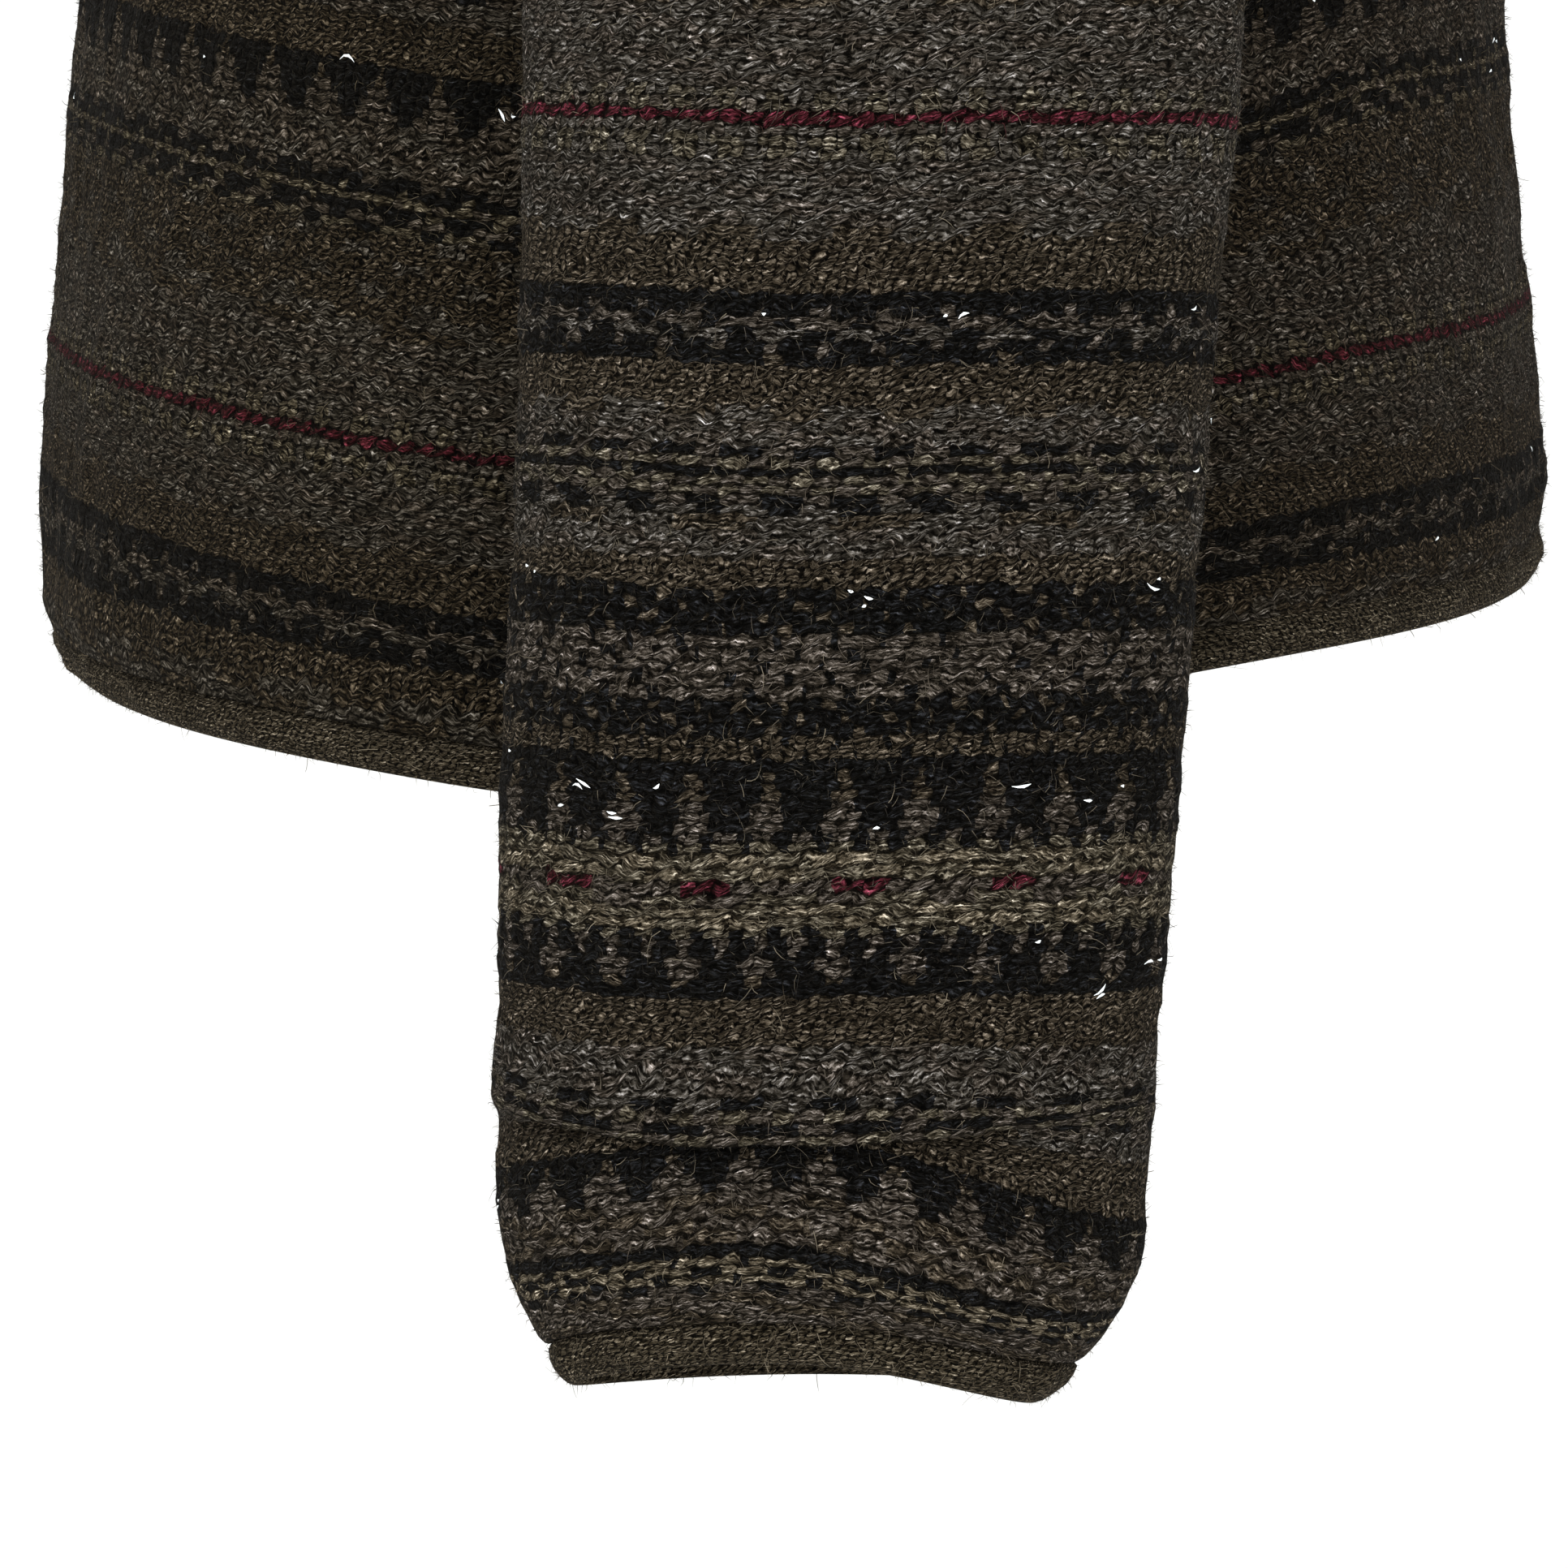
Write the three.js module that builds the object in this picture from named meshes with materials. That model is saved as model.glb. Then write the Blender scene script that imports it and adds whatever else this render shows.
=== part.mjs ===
// A fair isle crewneck sweater as it is worn: a hollow drop-shoulder body, two sleeves that hang
// straight down and narrow plain bands at the neck, hem and cuffs.
// Millimetres, +Z up. The front faces -Y and the wearer's left is +X. The origin is the middle of
// the neck opening at the height of the shoulder seams, where the wearer holds the sweater up.
import * as THREE from "three";

// Cloth
const WALL = 3;
const BAND_WALL = 4;
const SEAM = 0.3;

// Body: a rounded tube with the shoulders closed over the top
const ROUNDNESS = 2.35;
const CHEST_LEVEL = -230;
const SHOULDER_CURVE = 2;
const NECK_HALF_WIDTH = 88;
const SHOULDER_TIP_X = 203;
const SHOULDER_DROP = 82;
const SHOULDER_FALL = 1.7;
const FRONT_NECK_DROP = 85;
const BACK_NECK_DROP = 22;
const BODY_SECTIONS = [
  { level: -620, halfWidth: 217, front: 147, back: 151 },
  { level: -590, halfWidth: 216, front: 147, back: 149 },
  { level: -540, halfWidth: 212.5, front: 146, back: 145.5 },
  { level: -450, halfWidth: 206, front: 138, back: 138 },
  { level: -340, halfWidth: 201, front: 132.5, back: 132 },
  { level: -230, halfWidth: 200, front: 128, back: 124 },
  { level: -82, halfWidth: 203, front: 106, back: 116 },
  { level: 0, halfWidth: 203, front: 98, back: 106 },
];

// Hem: the front hangs lower than the back, the sides droop a little and the front's edge rolls in
const HEM_LEVEL = -580;
const HEM_DIP = { height: 9.5, reach: 32 };
const SIDE_DROOP = { height: 5, reach: 70 };
const HEM_BAND_HEIGHT = 7.5;
const HEM_ROLL = { depth: 5, height: 16 };

// Armhole: an upright oval between the underarm and the shoulder tip
const UNDERARM_LEVEL = -275;
const ARMHOLE_HALF_DEPTH = 45;

// Sleeve: rings from the cuff up the outer line of the arm. The lower rings lie level, and the upper
// ones turn upright about the underarm to meet the armhole.
const SLEEVE_RINGS = [
  { along: 0, turn: 90, innerX: 223, innerZ: -697, length: 60, breadth: 48, middleY: 5 },
  { along: 9, turn: 90, innerX: 222.5, innerZ: -688, length: 63, breadth: 51, middleY: 5 },
  { along: 20, turn: 90, innerX: 222, innerZ: -677, length: 67, breadth: 55, middleY: 5 },
  { along: 32, turn: 90, innerX: 221.5, innerZ: -665, length: 69, breadth: 57, middleY: 5.2 },
  { along: 46, turn: 90, innerX: 221, innerZ: -651, length: 70, breadth: 57.5, middleY: 5.4 },
  { along: 107, turn: 90, innerX: 219, innerZ: -590, length: 74, breadth: 59, middleY: 8.5 },
  { along: 177, turn: 90, innerX: 215, innerZ: -520, length: 78, breadth: 60.5, middleY: 12.5 },
  { along: 247, turn: 90, innerX: 211, innerZ: -450, length: 82, breadth: 63, middleY: 16 },
  { along: 297, turn: 90, innerX: 207.5, innerZ: -400, length: 86, breadth: 64, middleY: 15 },
  { along: 391, turn: 90, innerX: 203, innerZ: -306, length: 91, breadth: 62.5, middleY: 10 },
  { along: 433, turn: 68, innerX: 202, innerZ: -297, length: 97, breadth: 61, middleY: 8 },
  { along: 498, turn: 38, innerX: 201.5, innerZ: -290, length: 118, breadth: 58, middleY: 5 },
  { along: 575, turn: 15, innerX: 201, innerZ: -284, length: 160, breadth: 53, middleY: 2 },
  { along: 639, turn: 0.9, innerX: 200.6, innerZ: -278, length: 200, breadth: 48, middleY: 0 },
];
const CUFF_BAND_HEIGHT = 9;

// The soft fold across the outside of each sleeve above the cuff. The cloth below it is pushed up
// and the cloth above it hangs over it, most of all a little to the front of the sleeve's outside.
const FOLD = {
  from: 41,
  to: 57,
  depth: 3.5,
  lift: 14,
  overhang: 2.5,
  overhangAbove: 4,
  overhangReach: 12,
  cuffShare: 0.8,
  forward: 0.14,
  frontFading: 1.5,
  backFading: 5,
};

// Neckband: stands on the neck edges, lower over the shoulders, and leans in
const NECKBAND = { rise: 21, sideRise: 14, narrowing: 0.87, middleY: -20, clearance: 0.8 };
const NECKBAND_STOPS = [0, 0.35, 0.7, 1];

// The hem and cuff bands in section, from the lower edge up, against the cloth's own surface
const BAND_PROFILE = [
  { height: 0, out: -1, wall: BAND_WALL - 1 },
  { height: 0.3, out: 0.5, wall: BAND_WALL },
  { height: 0.75, out: 0.5, wall: BAND_WALL },
  { height: 1, out: -0.8, wall: BAND_WALL - 1.5 },
];

// How finely the cloth is divided
const NECK_STEPS = 6;
const SHOULDER_STEPS = 9;
const BODY_ROWS = 16;
const BODY_ROW_CROWDING = 1.35;
const RING_POINTS = 22;
const SLEEVE_STOPS = [
  20, 41, 45, 49, 53, 57, 65, 88, 122, 180, 250, 320, 391, 412, 433, 465, 498, 536, 575, 607, 639,
];

// Colours of the knit
const KNIT = { color: 0x3b3833, roughness: 0.95, metalness: 0 };
const BAND = { color: 0x3a3128, roughness: 0.95, metalness: 0 };

const clamp = THREE.MathUtils.clamp;

// A column of a table at any place, on a smooth curve through its rows.
function valueAt(table, key, column, place) {
  const last = table.length - 1;
  const rising = table[last][key] > table[0][key];
  let row = 0;
  while (row < last - 1 && (rising ? place > table[row + 1][key] : place < table[row + 1][key])) {
    row += 1;
  }
  const slope = (a, b) => (table[b][column] - table[a][column]) / (table[b][key] - table[a][key]);
  const span = table[row + 1][key] - table[row][key];
  const share = clamp((place - table[row][key]) / span, 0, 1);
  const startSlope = slope(Math.max(row - 1, 0), row + 1) * span;
  const endSlope = slope(row, Math.min(row + 2, last)) * span;
  const start = table[row][column];
  const end = table[row + 1][column];
  const square = share * share;
  const cube = square * share;
  return (
    start * (2 * cube - 3 * square + 1) +
    startSlope * (cube - 2 * square + share) +
    end * (3 * square - 2 * cube) +
    endSlope * (cube - square)
  );
}

// The shoulder seam's height, level over the neck and falling to the shoulder tip.
function shoulderLevel(x) {
  const out = Math.max(Math.abs(x) - NECK_HALF_WIDTH, 0) / (SHOULDER_TIP_X - NECK_HALF_WIDTH);
  return -SHOULDER_DROP * out ** SHOULDER_FALL;
}

// The upper edge of a panel: the shoulder seam, or the curve of the neck between the shoulders.
function topLevel(side, x) {
  const drop = side < 0 ? FRONT_NECK_DROP : BACK_NECK_DROP;
  const across = Math.min(Math.abs(x) / NECK_HALF_WIDTH, 1);
  const neck = -drop * Math.sqrt(1 - across * across);
  return Math.min(neck, shoulderLevel(x));
}

function armholeDepth(level) {
  const middle = (UNDERARM_LEVEL - SHOULDER_DROP) / 2;
  const half = -SHOULDER_DROP - middle;
  const away = Math.min(Math.abs(level - middle) / half, 1);
  return ARMHOLE_HALF_DEPTH * Math.sqrt(1 - away * away);
}

// The share of the half width that an angle from the middle of the panel reaches.
function shareAcross(angle) {
  return Math.sign(angle) * Math.abs(Math.sin(angle)) ** (2 / ROUNDNESS);
}

// A point on the outside of the body. side is -1 on the front and 1 on the back, and the angle runs
// from 0 in the middle of the panel to a quarter turn at the side seam.
function bodyPoint(side, angle, level) {
  const width = valueAt(BODY_SECTIONS, "level", "halfWidth", level);
  const across = shareAcross(angle);
  const top = shoulderLevel(across * SHOULDER_TIP_X);
  const rise = clamp((level - CHEST_LEVEL) / (top - CHEST_LEVEL), 0, 1);
  const closing = (1 - rise ** SHOULDER_CURVE) ** (1 / SHOULDER_CURVE);
  const round = Math.abs(Math.cos(angle)) ** (2 / ROUNDNESS);
  let depth = valueAt(BODY_SECTIONS, "level", side < 0 ? "front" : "back", level) * closing;
  if (side < 0) {
    const rolled = clamp((hemLevel(side, angle) + HEM_ROLL.height - level) / HEM_ROLL.height, 0, 1);
    depth -= HEM_ROLL.depth * rolled ** 2 * round ** 2;
  }
  const open = armholeDepth(level);
  const y = SEAM / 2 + open + Math.max(depth - open, 0) * round;
  return new THREE.Vector3(width * across, side * y, level);
}

function hemLevel(side, angle) {
  const depth = valueAt(BODY_SECTIONS, "level", "front", HEM_LEVEL);
  const y = side * depth * Math.abs(Math.cos(angle)) ** (2 / ROUNDNESS);
  const dip = HEM_DIP.height * Math.tanh(y / HEM_DIP.reach);
  return HEM_LEVEL + dip - SIDE_DROOP.height * Math.exp(-((y / SIDE_DROOP.reach) ** 2));
}

// The outward direction of the body's cloth, from points a little way to each side.
function bodyNormal(side, angle, level, top) {
  const step = 0.01;
  const rise = 1;
  const before = bodyPoint(side, Math.max(angle - step, -Math.PI / 2), level);
  const after = bodyPoint(side, Math.min(angle + step, Math.PI / 2), level);
  const below = bodyPoint(side, angle, level - rise);
  const above = bodyPoint(side, angle, Math.min(level + rise, top));
  const normal = after.sub(before).cross(above.sub(below)).normalize();
  return side < 0 ? normal : normal.negate();
}

// The cloth's inner side, kept on the panel's own side of its seams.
function bodyInside(side, angle, level, top, wall) {
  const point = bodyPoint(side, angle, level);
  point.addScaledVector(bodyNormal(side, angle, level, top), -wall);
  point.y = side * Math.max(side * point.y, SEAM / 2);
  return point;
}

// Angles across a panel: close together along the neck, then even steps out to the side seam.
function panelAngles() {
  const angles = [];
  for (let step = 0; step <= NECK_STEPS; step += 1) {
    const x = NECK_HALF_WIDTH * Math.sin((step / NECK_STEPS) * (Math.PI / 2));
    angles.push(Math.asin((x / SHOULDER_TIP_X) ** (ROUNDNESS / 2)));
  }
  const neck = angles[NECK_STEPS];
  for (let step = 1; step <= SHOULDER_STEPS; step += 1) {
    angles.push(neck + (Math.PI / 2 - neck) * (step / SHOULDER_STEPS));
  }
  return [...angles.slice(1).map((angle) => -angle).reverse(), ...angles];
}

// A closed body of cloth between an outer and an inner grid of points.
function clothBetween(outer, inner, ringed) {
  const rows = outer.length;
  const columns = outer[0].length;
  const spans = ringed ? columns : columns - 1;
  const at = (layer, row, column) => (layer * rows + row) * columns + (column % columns);
  const faces = [];
  const quad = (a, b, c, d) => faces.push(a, b, c, a, c, d);
  for (let column = 0; column < spans; column += 1) {
    const next = column + 1;
    for (let row = 0; row < rows - 1; row += 1) {
      quad(at(0, row, column), at(0, row, next), at(0, row + 1, next), at(0, row + 1, column));
      quad(at(1, row, next), at(1, row, column), at(1, row + 1, column), at(1, row + 1, next));
    }
    quad(at(1, 0, column), at(1, 0, next), at(0, 0, next), at(0, 0, column));
    const top = rows - 1;
    quad(at(0, top, column), at(0, top, next), at(1, top, next), at(1, top, column));
  }
  for (let row = 0; row < rows - 1 && !ringed; row += 1) {
    const end = columns - 1;
    quad(at(1, row, 0), at(0, row, 0), at(0, row + 1, 0), at(1, row + 1, 0));
    quad(at(0, row, end), at(1, row, end), at(1, row + 1, end), at(0, row + 1, end));
  }
  const points = [...outer.flat(), ...inner.flat()];
  const geometry = new THREE.BufferGeometry().setFromPoints(points);
  if (enclosedVolume(points, faces) < 0) {
    faces.reverse();
  }
  geometry.setIndex(faces);
  geometry.computeVertexNormals();
  return geometry;
}

function enclosedVolume(points, faces) {
  let total = 0;
  for (let face = 0; face < faces.length; face += 3) {
    const [a, b, c] = faces.slice(face, face + 3).map((point) => points[point]);
    total += a.dot(b.clone().cross(c)) / 6;
  }
  return total;
}

// A front or back panel, from just above the hem band to the shoulder seams and the neck.
function panel(side) {
  const outer = [];
  const inner = [];
  for (let row = 0; row < BODY_ROWS; row += 1) {
    const share = 1 - (1 - row / (BODY_ROWS - 1)) ** BODY_ROW_CROWDING;
    const place = (angle) => {
      const bottom = hemLevel(side, angle) + HEM_BAND_HEIGHT + SEAM;
      const top = topLevel(side, shareAcross(angle) * SHOULDER_TIP_X);
      return { level: bottom + (top - bottom) * share, top };
    };
    const angles = panelAngles();
    outer.push(angles.map((angle) => bodyPoint(side, angle, place(angle).level)));
    inner.push(
      angles.map((angle) => bodyInside(side, angle, place(angle).level, place(angle).top, WALL)),
    );
  }
  return clothBetween(outer, inner, false);
}

// The hem band under a panel: a narrow tubular edge, a little fuller than the cloth above it.
function hemBand(side) {
  const outer = [];
  const inner = [];
  for (const { height, out, wall } of BAND_PROFILE) {
    const place = (angle) => hemLevel(side, angle) + height * HEM_BAND_HEIGHT;
    const angles = panelAngles();
    outer.push(angles.map((angle) => bodyInside(side, angle, place(angle), 0, -out)));
    inner.push(angles.map((angle) => bodyInside(side, angle, place(angle), 0, wall - out)));
  }
  return clothBetween(outer, inner, false);
}

// How much of the fold a point on the ring takes: all of it just in front of the outside.
function foldShare(around) {
  const from = around + FOLD.forward;
  const away = Math.atan2(Math.sin(from), Math.cos(from));
  const facing = 0.5 + 0.5 * Math.cos(away);
  return facing ** (away < 0 ? FOLD.frontFading : FOLD.backFading);
}

// One ring of the left sleeve, moved in by a distance. Around is 0 on the outside of the arm.
function sleeveRing(along, inward) {
  const value = (column) => valueAt(SLEEVE_RINGS, "along", column, along);
  const turn = THREE.MathUtils.degToRad(value("turn"));
  const outward = new THREE.Vector3(Math.sin(turn), 0, Math.cos(turn));
  const half = value("length") / 2;
  const middle = new THREE.Vector3(value("innerX"), value("middleY"), value("innerZ"));
  middle.addScaledVector(outward, half);
  const folded = clamp((FOLD.to - along) / (FOLD.to - FOLD.from), 0, 1);
  const depth = FOLD.depth * Math.sin(Math.PI * folded) ** 2;
  const fromOverhang = (along - FOLD.to - FOLD.overhangAbove) / FOLD.overhangReach;
  const over = folded < 1 ? FOLD.overhang * Math.exp(-(fromOverhang ** 2)) : 0;
  const low = FOLD.cuffShare + (1 - FOLD.cuffShare) * clamp(along / FOLD.from, 0, 1);
  const ring = [];
  for (let point = 0; point < RING_POINTS; point += 1) {
    const around = (point / RING_POINTS) * 2 * Math.PI;
    const share = foldShare(around);
    const grow = share * (over - depth) - inward;
    const place = middle.clone();
    place.addScaledVector(outward, (half + grow) * Math.cos(around));
    place.y += (value("breadth") + grow) * Math.sin(around);
    place.z += FOLD.lift * folded * low * share;
    ring.push(place);
  }
  return ring;
}

function sleeve() {
  const stops = [CUFF_BAND_HEIGHT + SEAM, ...SLEEVE_STOPS];
  const outer = stops.map((along) => sleeveRing(along, 0));
  const inner = stops.map((along) => sleeveRing(along, WALL));
  return clothBetween(outer, inner, true);
}

// The cuff band below a sleeve, in the same section as the hem band.
function cuffBand() {
  const outer = BAND_PROFILE.map(({ height, out }) => sleeveRing(height * CUFF_BAND_HEIGHT, -out));
  const inner = BAND_PROFILE.map(({ height, out, wall }) =>
    sleeveRing(height * CUFF_BAND_HEIGHT, wall - out),
  );
  return clothBetween(outer, inner, true);
}

// The neckband stands on the neck edges of both panels and leans in towards the neck.
function neckband() {
  const neckAngles = panelAngles().slice(SHOULDER_STEPS, -SHOULDER_STEPS);
  const edgePoint = (side, angle) =>
    bodyPoint(side, angle, topLevel(side, shareAcross(angle) * SHOULDER_TIP_X));
  const edge = [
    ...neckAngles.map((angle) => edgePoint(-1, angle)),
    ...neckAngles.slice(1, -1).reverse().map((angle) => edgePoint(1, angle)),
  ];
  const ringAt = (share, inward) =>
    edge.map((point) => {
      const middle = new THREE.Vector3(0, NECKBAND.middleY, point.z);
      const away = point.clone().sub(middle);
      const reach = away.length();
      const narrow = 1 + (NECKBAND.narrowing - 1) * share;
      const place = middle.addScaledVector(away, (reach * narrow - inward) / reach);
      const aside = (point.x / NECK_HALF_WIDTH) ** 2;
      place.z += (NECKBAND.rise + (NECKBAND.sideRise - NECKBAND.rise) * aside) * share;
      return place;
    });
  const outer = NECKBAND_STOPS.map((share) => ringAt(share, NECKBAND.clearance));
  const inner = NECKBAND_STOPS.map((share) => ringAt(share, NECKBAND.clearance + WALL));
  return clothBetween(outer, inner, true);
}

// The right sleeve and cuff are the left ones mirrored.
function mirrored(geometry) {
  const copy = geometry.clone().scale(-1, 1, 1);
  const faces = Array.from(copy.index.array).reverse();
  copy.setIndex(faces);
  copy.computeVertexNormals();
  return copy;
}

const sweater = new THREE.Group();

function add(name, geometry, finish) {
  const mesh = new THREE.Mesh(geometry, new THREE.MeshStandardMaterial(finish));
  mesh.name = name;
  sweater.add(mesh);
}

add("front", panel(-1), KNIT);
add("back", panel(1), KNIT);
add("sleeve_left", sleeve(), KNIT);
add("sleeve_right", mirrored(sleeve()), KNIT);
add("neckband", neckband(), BAND);
add("hem_band_front", hemBand(-1), BAND);
add("hem_band_back", hemBand(1), BAND);
add("cuff_band_left", cuffBand(), BAND);
add("cuff_band_right", mirrored(cuffBand()), BAND);

export default sweater;
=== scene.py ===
# %% [markdown]
# # A fair isle crewneck sweater
# The sweater hangs as it is worn: a boxy hollow body with dropped shoulders, two straight sleeves
# and narrow plain bands. Simple solids give its size. This file knits the cloth that shows over
# them: sheets of rows and stitches, a tuck above each cuff, soft creases, loose wool and glints.
# Lengths here are in millimetres, as a maker measures, and turn into metres when a mesh is made.

# %% Load the solids
import functools
import math

import bpy
import numpy as np
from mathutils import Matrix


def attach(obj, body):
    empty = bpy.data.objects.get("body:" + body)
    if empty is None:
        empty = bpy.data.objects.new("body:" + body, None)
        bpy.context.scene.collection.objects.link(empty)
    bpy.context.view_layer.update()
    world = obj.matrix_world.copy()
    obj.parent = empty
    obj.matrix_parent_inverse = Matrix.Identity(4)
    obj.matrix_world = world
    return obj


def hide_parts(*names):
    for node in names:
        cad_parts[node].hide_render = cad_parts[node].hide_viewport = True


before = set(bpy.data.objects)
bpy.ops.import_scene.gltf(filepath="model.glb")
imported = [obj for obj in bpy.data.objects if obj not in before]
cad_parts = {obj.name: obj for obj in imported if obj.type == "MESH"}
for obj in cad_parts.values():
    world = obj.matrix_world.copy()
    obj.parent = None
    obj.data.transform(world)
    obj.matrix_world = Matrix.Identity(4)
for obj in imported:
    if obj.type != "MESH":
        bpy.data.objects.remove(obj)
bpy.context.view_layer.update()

MM = 0.001

# %% [markdown]
# ## The camera
# A long lens stands level with the wearer's upper arm and looks slightly down at the lower sleeve,
# from the wearer's left. Its turn about Z faces it along -X, and it is pitched 6.9 degrees down.

# %% Place the camera
LENS = 256.5
SENSOR = 36
CAMERA_PLACE = (2200, -1.4, -351.6)
CAMERA_PITCH = 6.9
FARTHEST_SEEN = 100

lens = bpy.data.cameras.new("Long lens")
lens.lens = LENS
lens.sensor_width = SENSOR
lens.clip_end = FARTHEST_SEEN
camera = bpy.data.objects.new("Camera", lens)
camera.location = [part * MM for part in CAMERA_PLACE]
camera.rotation_euler = (math.radians(90 - CAMERA_PITCH), 0, math.radians(90))
bpy.context.scene.collection.objects.link(camera)
bpy.context.scene.camera = camera
print("view is", round(2 * math.degrees(math.atan(SENSOR / 2 / LENS)), 2), "degrees wide")

# %% [markdown]
# ## Floor and light
# The wearer's shoulders are about 1.42 m above the floor, so the floor lies that far below the
# neck. A large plain plane and a plain pale world give the even light of a studio. A broad
# lamp on the wearer's left gives the rows of knitting their small shadows, and a weaker one stands
# on the far side.

# %% Make the first tools
SHOULDER_HEIGHT = 1420
FLOOR_REACH = 60000
WORLD_STRENGTH = 0.36
LAMPS = {
    "Front lamp": {"towards": (0.88, -0.10, 0.48), "spread": 60, "strength": 2.75},
    "Far lamp": {"towards": (-0.76, -0.05, 0.60), "spread": 60, "strength": 1.7},
}


def linear(hex_colour):
    """An sRGB hex colour as the linear numbers that a shader takes."""
    parts = [int(hex_colour[place:place + 2], 16) / 255 for place in (1, 3, 5)]
    return [part / 12.92 if part <= 0.04045 else ((part + 0.055) / 1.055) ** 2.4 for part in parts]


def add_node(tree, kind, inputs=(), out=0, **settings):
    """Adds a node with its settings, values and links, and gives back the outputs asked for."""
    made = tree.nodes.new("ShaderNode" + kind)
    for name, value in settings.items():
        setattr(made, name, value)
    pairs = inputs.items() if isinstance(inputs, dict) else enumerate(inputs)
    for socket, value in pairs:
        if isinstance(value, bpy.types.NodeSocket):
            tree.links.new(value, made.inputs[socket])
        else:
            made.inputs[socket].default_value = value
    if isinstance(out, tuple):
        return [made.outputs[part] for part in out]
    return made.outputs[out] if len(made.outputs) else None


def new_material(name):
    material = bpy.data.materials.new(name)
    material.use_nodes = True
    material.node_tree.nodes.clear()
    return material, material.node_tree


def new_piece(name, points, faces, material, mirror=False, smooth=True):
    """An object made from points in millimetres, as they are or mirrored for the other side."""
    points = np.array(points) * MM
    if mirror:
        points[:, 0] *= -1
    mesh = bpy.data.meshes.new(name)
    mesh.from_pydata(points.tolist(), [], faces)
    mesh.polygons.foreach_set("use_smooth", [smooth] * len(faces))
    mesh.materials.append(material)
    piece = bpy.data.objects.new(name, mesh)
    bpy.context.scene.collection.objects.link(piece)
    return piece


# %% Lay the floor
def lay_floor():
    material, tree = new_material("Matt white studio paint")
    look = {"Base Color": (*linear("#fafaf8"), 1), "Roughness": 0.9}
    paint = add_node(tree, "BsdfPrincipled", look)
    add_node(tree, "OutputMaterial", {"Surface": paint})
    ends = ((-1, -1), (1, -1), (1, 1), (-1, 1))
    corners = [(x * FLOOR_REACH, y * FLOOR_REACH, -SHOULDER_HEIGHT) for x, y in ends]
    new_piece("studio_floor", corners, [(0, 1, 2, 3)], material, smooth=False)


lay_floor()
print("floor", SHOULDER_HEIGHT, "mm below the neck")


# %% Hang the lamps
def hang_sun(name, towards, spread, strength):
    """A broad soft lamp so far away that it lights everything from one direction."""
    light = bpy.data.lights.new(name, "SUN")
    light.angle = math.radians(spread)
    light.energy = strength
    lamp = bpy.data.objects.new(name, light)
    x, y, z = towards
    lamp.rotation_euler = (math.atan2(math.hypot(x, y), z), 0, math.atan2(y, x) + math.pi / 2)
    bpy.context.scene.collection.objects.link(lamp)


def light_world(strength):
    world = bpy.data.worlds.new("Pale studio")
    world.use_nodes = True
    world.node_tree.nodes.clear()
    look = {"Color": (*linear("#ffffff"), 1), "Strength": strength}
    sky = add_node(world.node_tree, "Background", look)
    add_node(world.node_tree, "OutputWorld", {"Surface": sky})
    bpy.context.scene.world = world


light_world(WORLD_STRENGTH)
for lamp_name, lamp_facts in LAMPS.items():
    hang_sun(lamp_name, **lamp_facts)
bpy.context.scene.view_settings.view_transform = "Standard"
print(len(LAMPS), "lamps")

# %% [markdown]
# ## The form of the cloth
# The cloth lies on its solids, so this starts from the sizes they were built from: level sections
# of the body, the armholes, and rings up each sleeve. The cloth's seams are closed, and its hem
# droops 5 mm more beside the arms. numpy works on whole rows of stitches at once, which makes tens
# of thousands of points in a second.

# %% Sizes of the body
def table(names, *rows):
    """Rows of values under one heading, each one a dictionary."""
    return [dict(zip(names, row)) for row in rows]


ROUNDNESS = 2.35
CHEST_LEVEL = -230
NECK_HALF_WIDTH = 88
SHOULDER_TIP_X = 203
SHOULDER_DROP = 82
SHOULDER_FALL = 1.7
FRONT_NECK_DROP = 85
BACK_NECK_DROP = 22
UNDERARM_LEVEL = -275
ARMHOLE_HALF_DEPTH = 45
BODY_SECTIONS = table(
    ("level", "half_width", "front", "back"),
    (-620, 217, 147, 151),
    (-590, 216, 147, 149),
    (-540, 212.5, 146, 145.5),
    (-450, 206, 138, 138),
    (-340, 201, 132.5, 132),
    (-230, 200, 128, 124),
    (-82, 203, 106, 116),
    (0, 203, 98, 106),
)
HEM_LEVEL = -580
HEM_DIP = {"height": 9.5, "reach": 32}
SIDE_DROOP = {"height": 10, "reach": 70}
HEM_ROLL = {"depth": 5, "height": 16}


def from_table(rows, key, column, place):
    """A column of a table at any places, on a smooth curve through its rows."""
    keys = np.array([row[key] for row in rows], float)
    values = np.array([row[column] for row in rows], float)
    slopes = np.empty_like(values)
    slopes[1:-1] = (values[2:] - values[:-2]) / (keys[2:] - keys[:-2])
    slopes[0] = (values[1] - values[0]) / (keys[1] - keys[0])
    slopes[-1] = (values[-1] - values[-2]) / (keys[-1] - keys[-2])
    row = np.clip(np.searchsorted(keys, place) - 1, 0, len(keys) - 2)
    span = keys[row + 1] - keys[row]
    share = np.clip((place - keys[row]) / span, 0, 1)
    square, cube = share**2, share**3
    return (
        values[row] * (2 * cube - 3 * square + 1)
        + slopes[row] * span * (cube - 2 * square + share)
        + values[row + 1] * (3 * square - 2 * cube)
        + slopes[row + 1] * span * (cube - square)
    )


def smooth(low, high, place):
    """Rises softly from 0 at low to 1 at high."""
    share = np.clip((place - low) / (high - low), 0, 1)
    return share * share * (3 - 2 * share)


def mound(place, reach):
    """A soft mound, 1 in its middle and almost gone at twice its reach."""
    return np.exp(-((place / reach) ** 2))


def unit(vectors):
    """The same directions, each one long."""
    return vectors / np.maximum(np.linalg.norm(vectors, axis=-1, keepdims=True), 1e-9)


def side_name(side):
    return "front" if side < 0 else "back"


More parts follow.
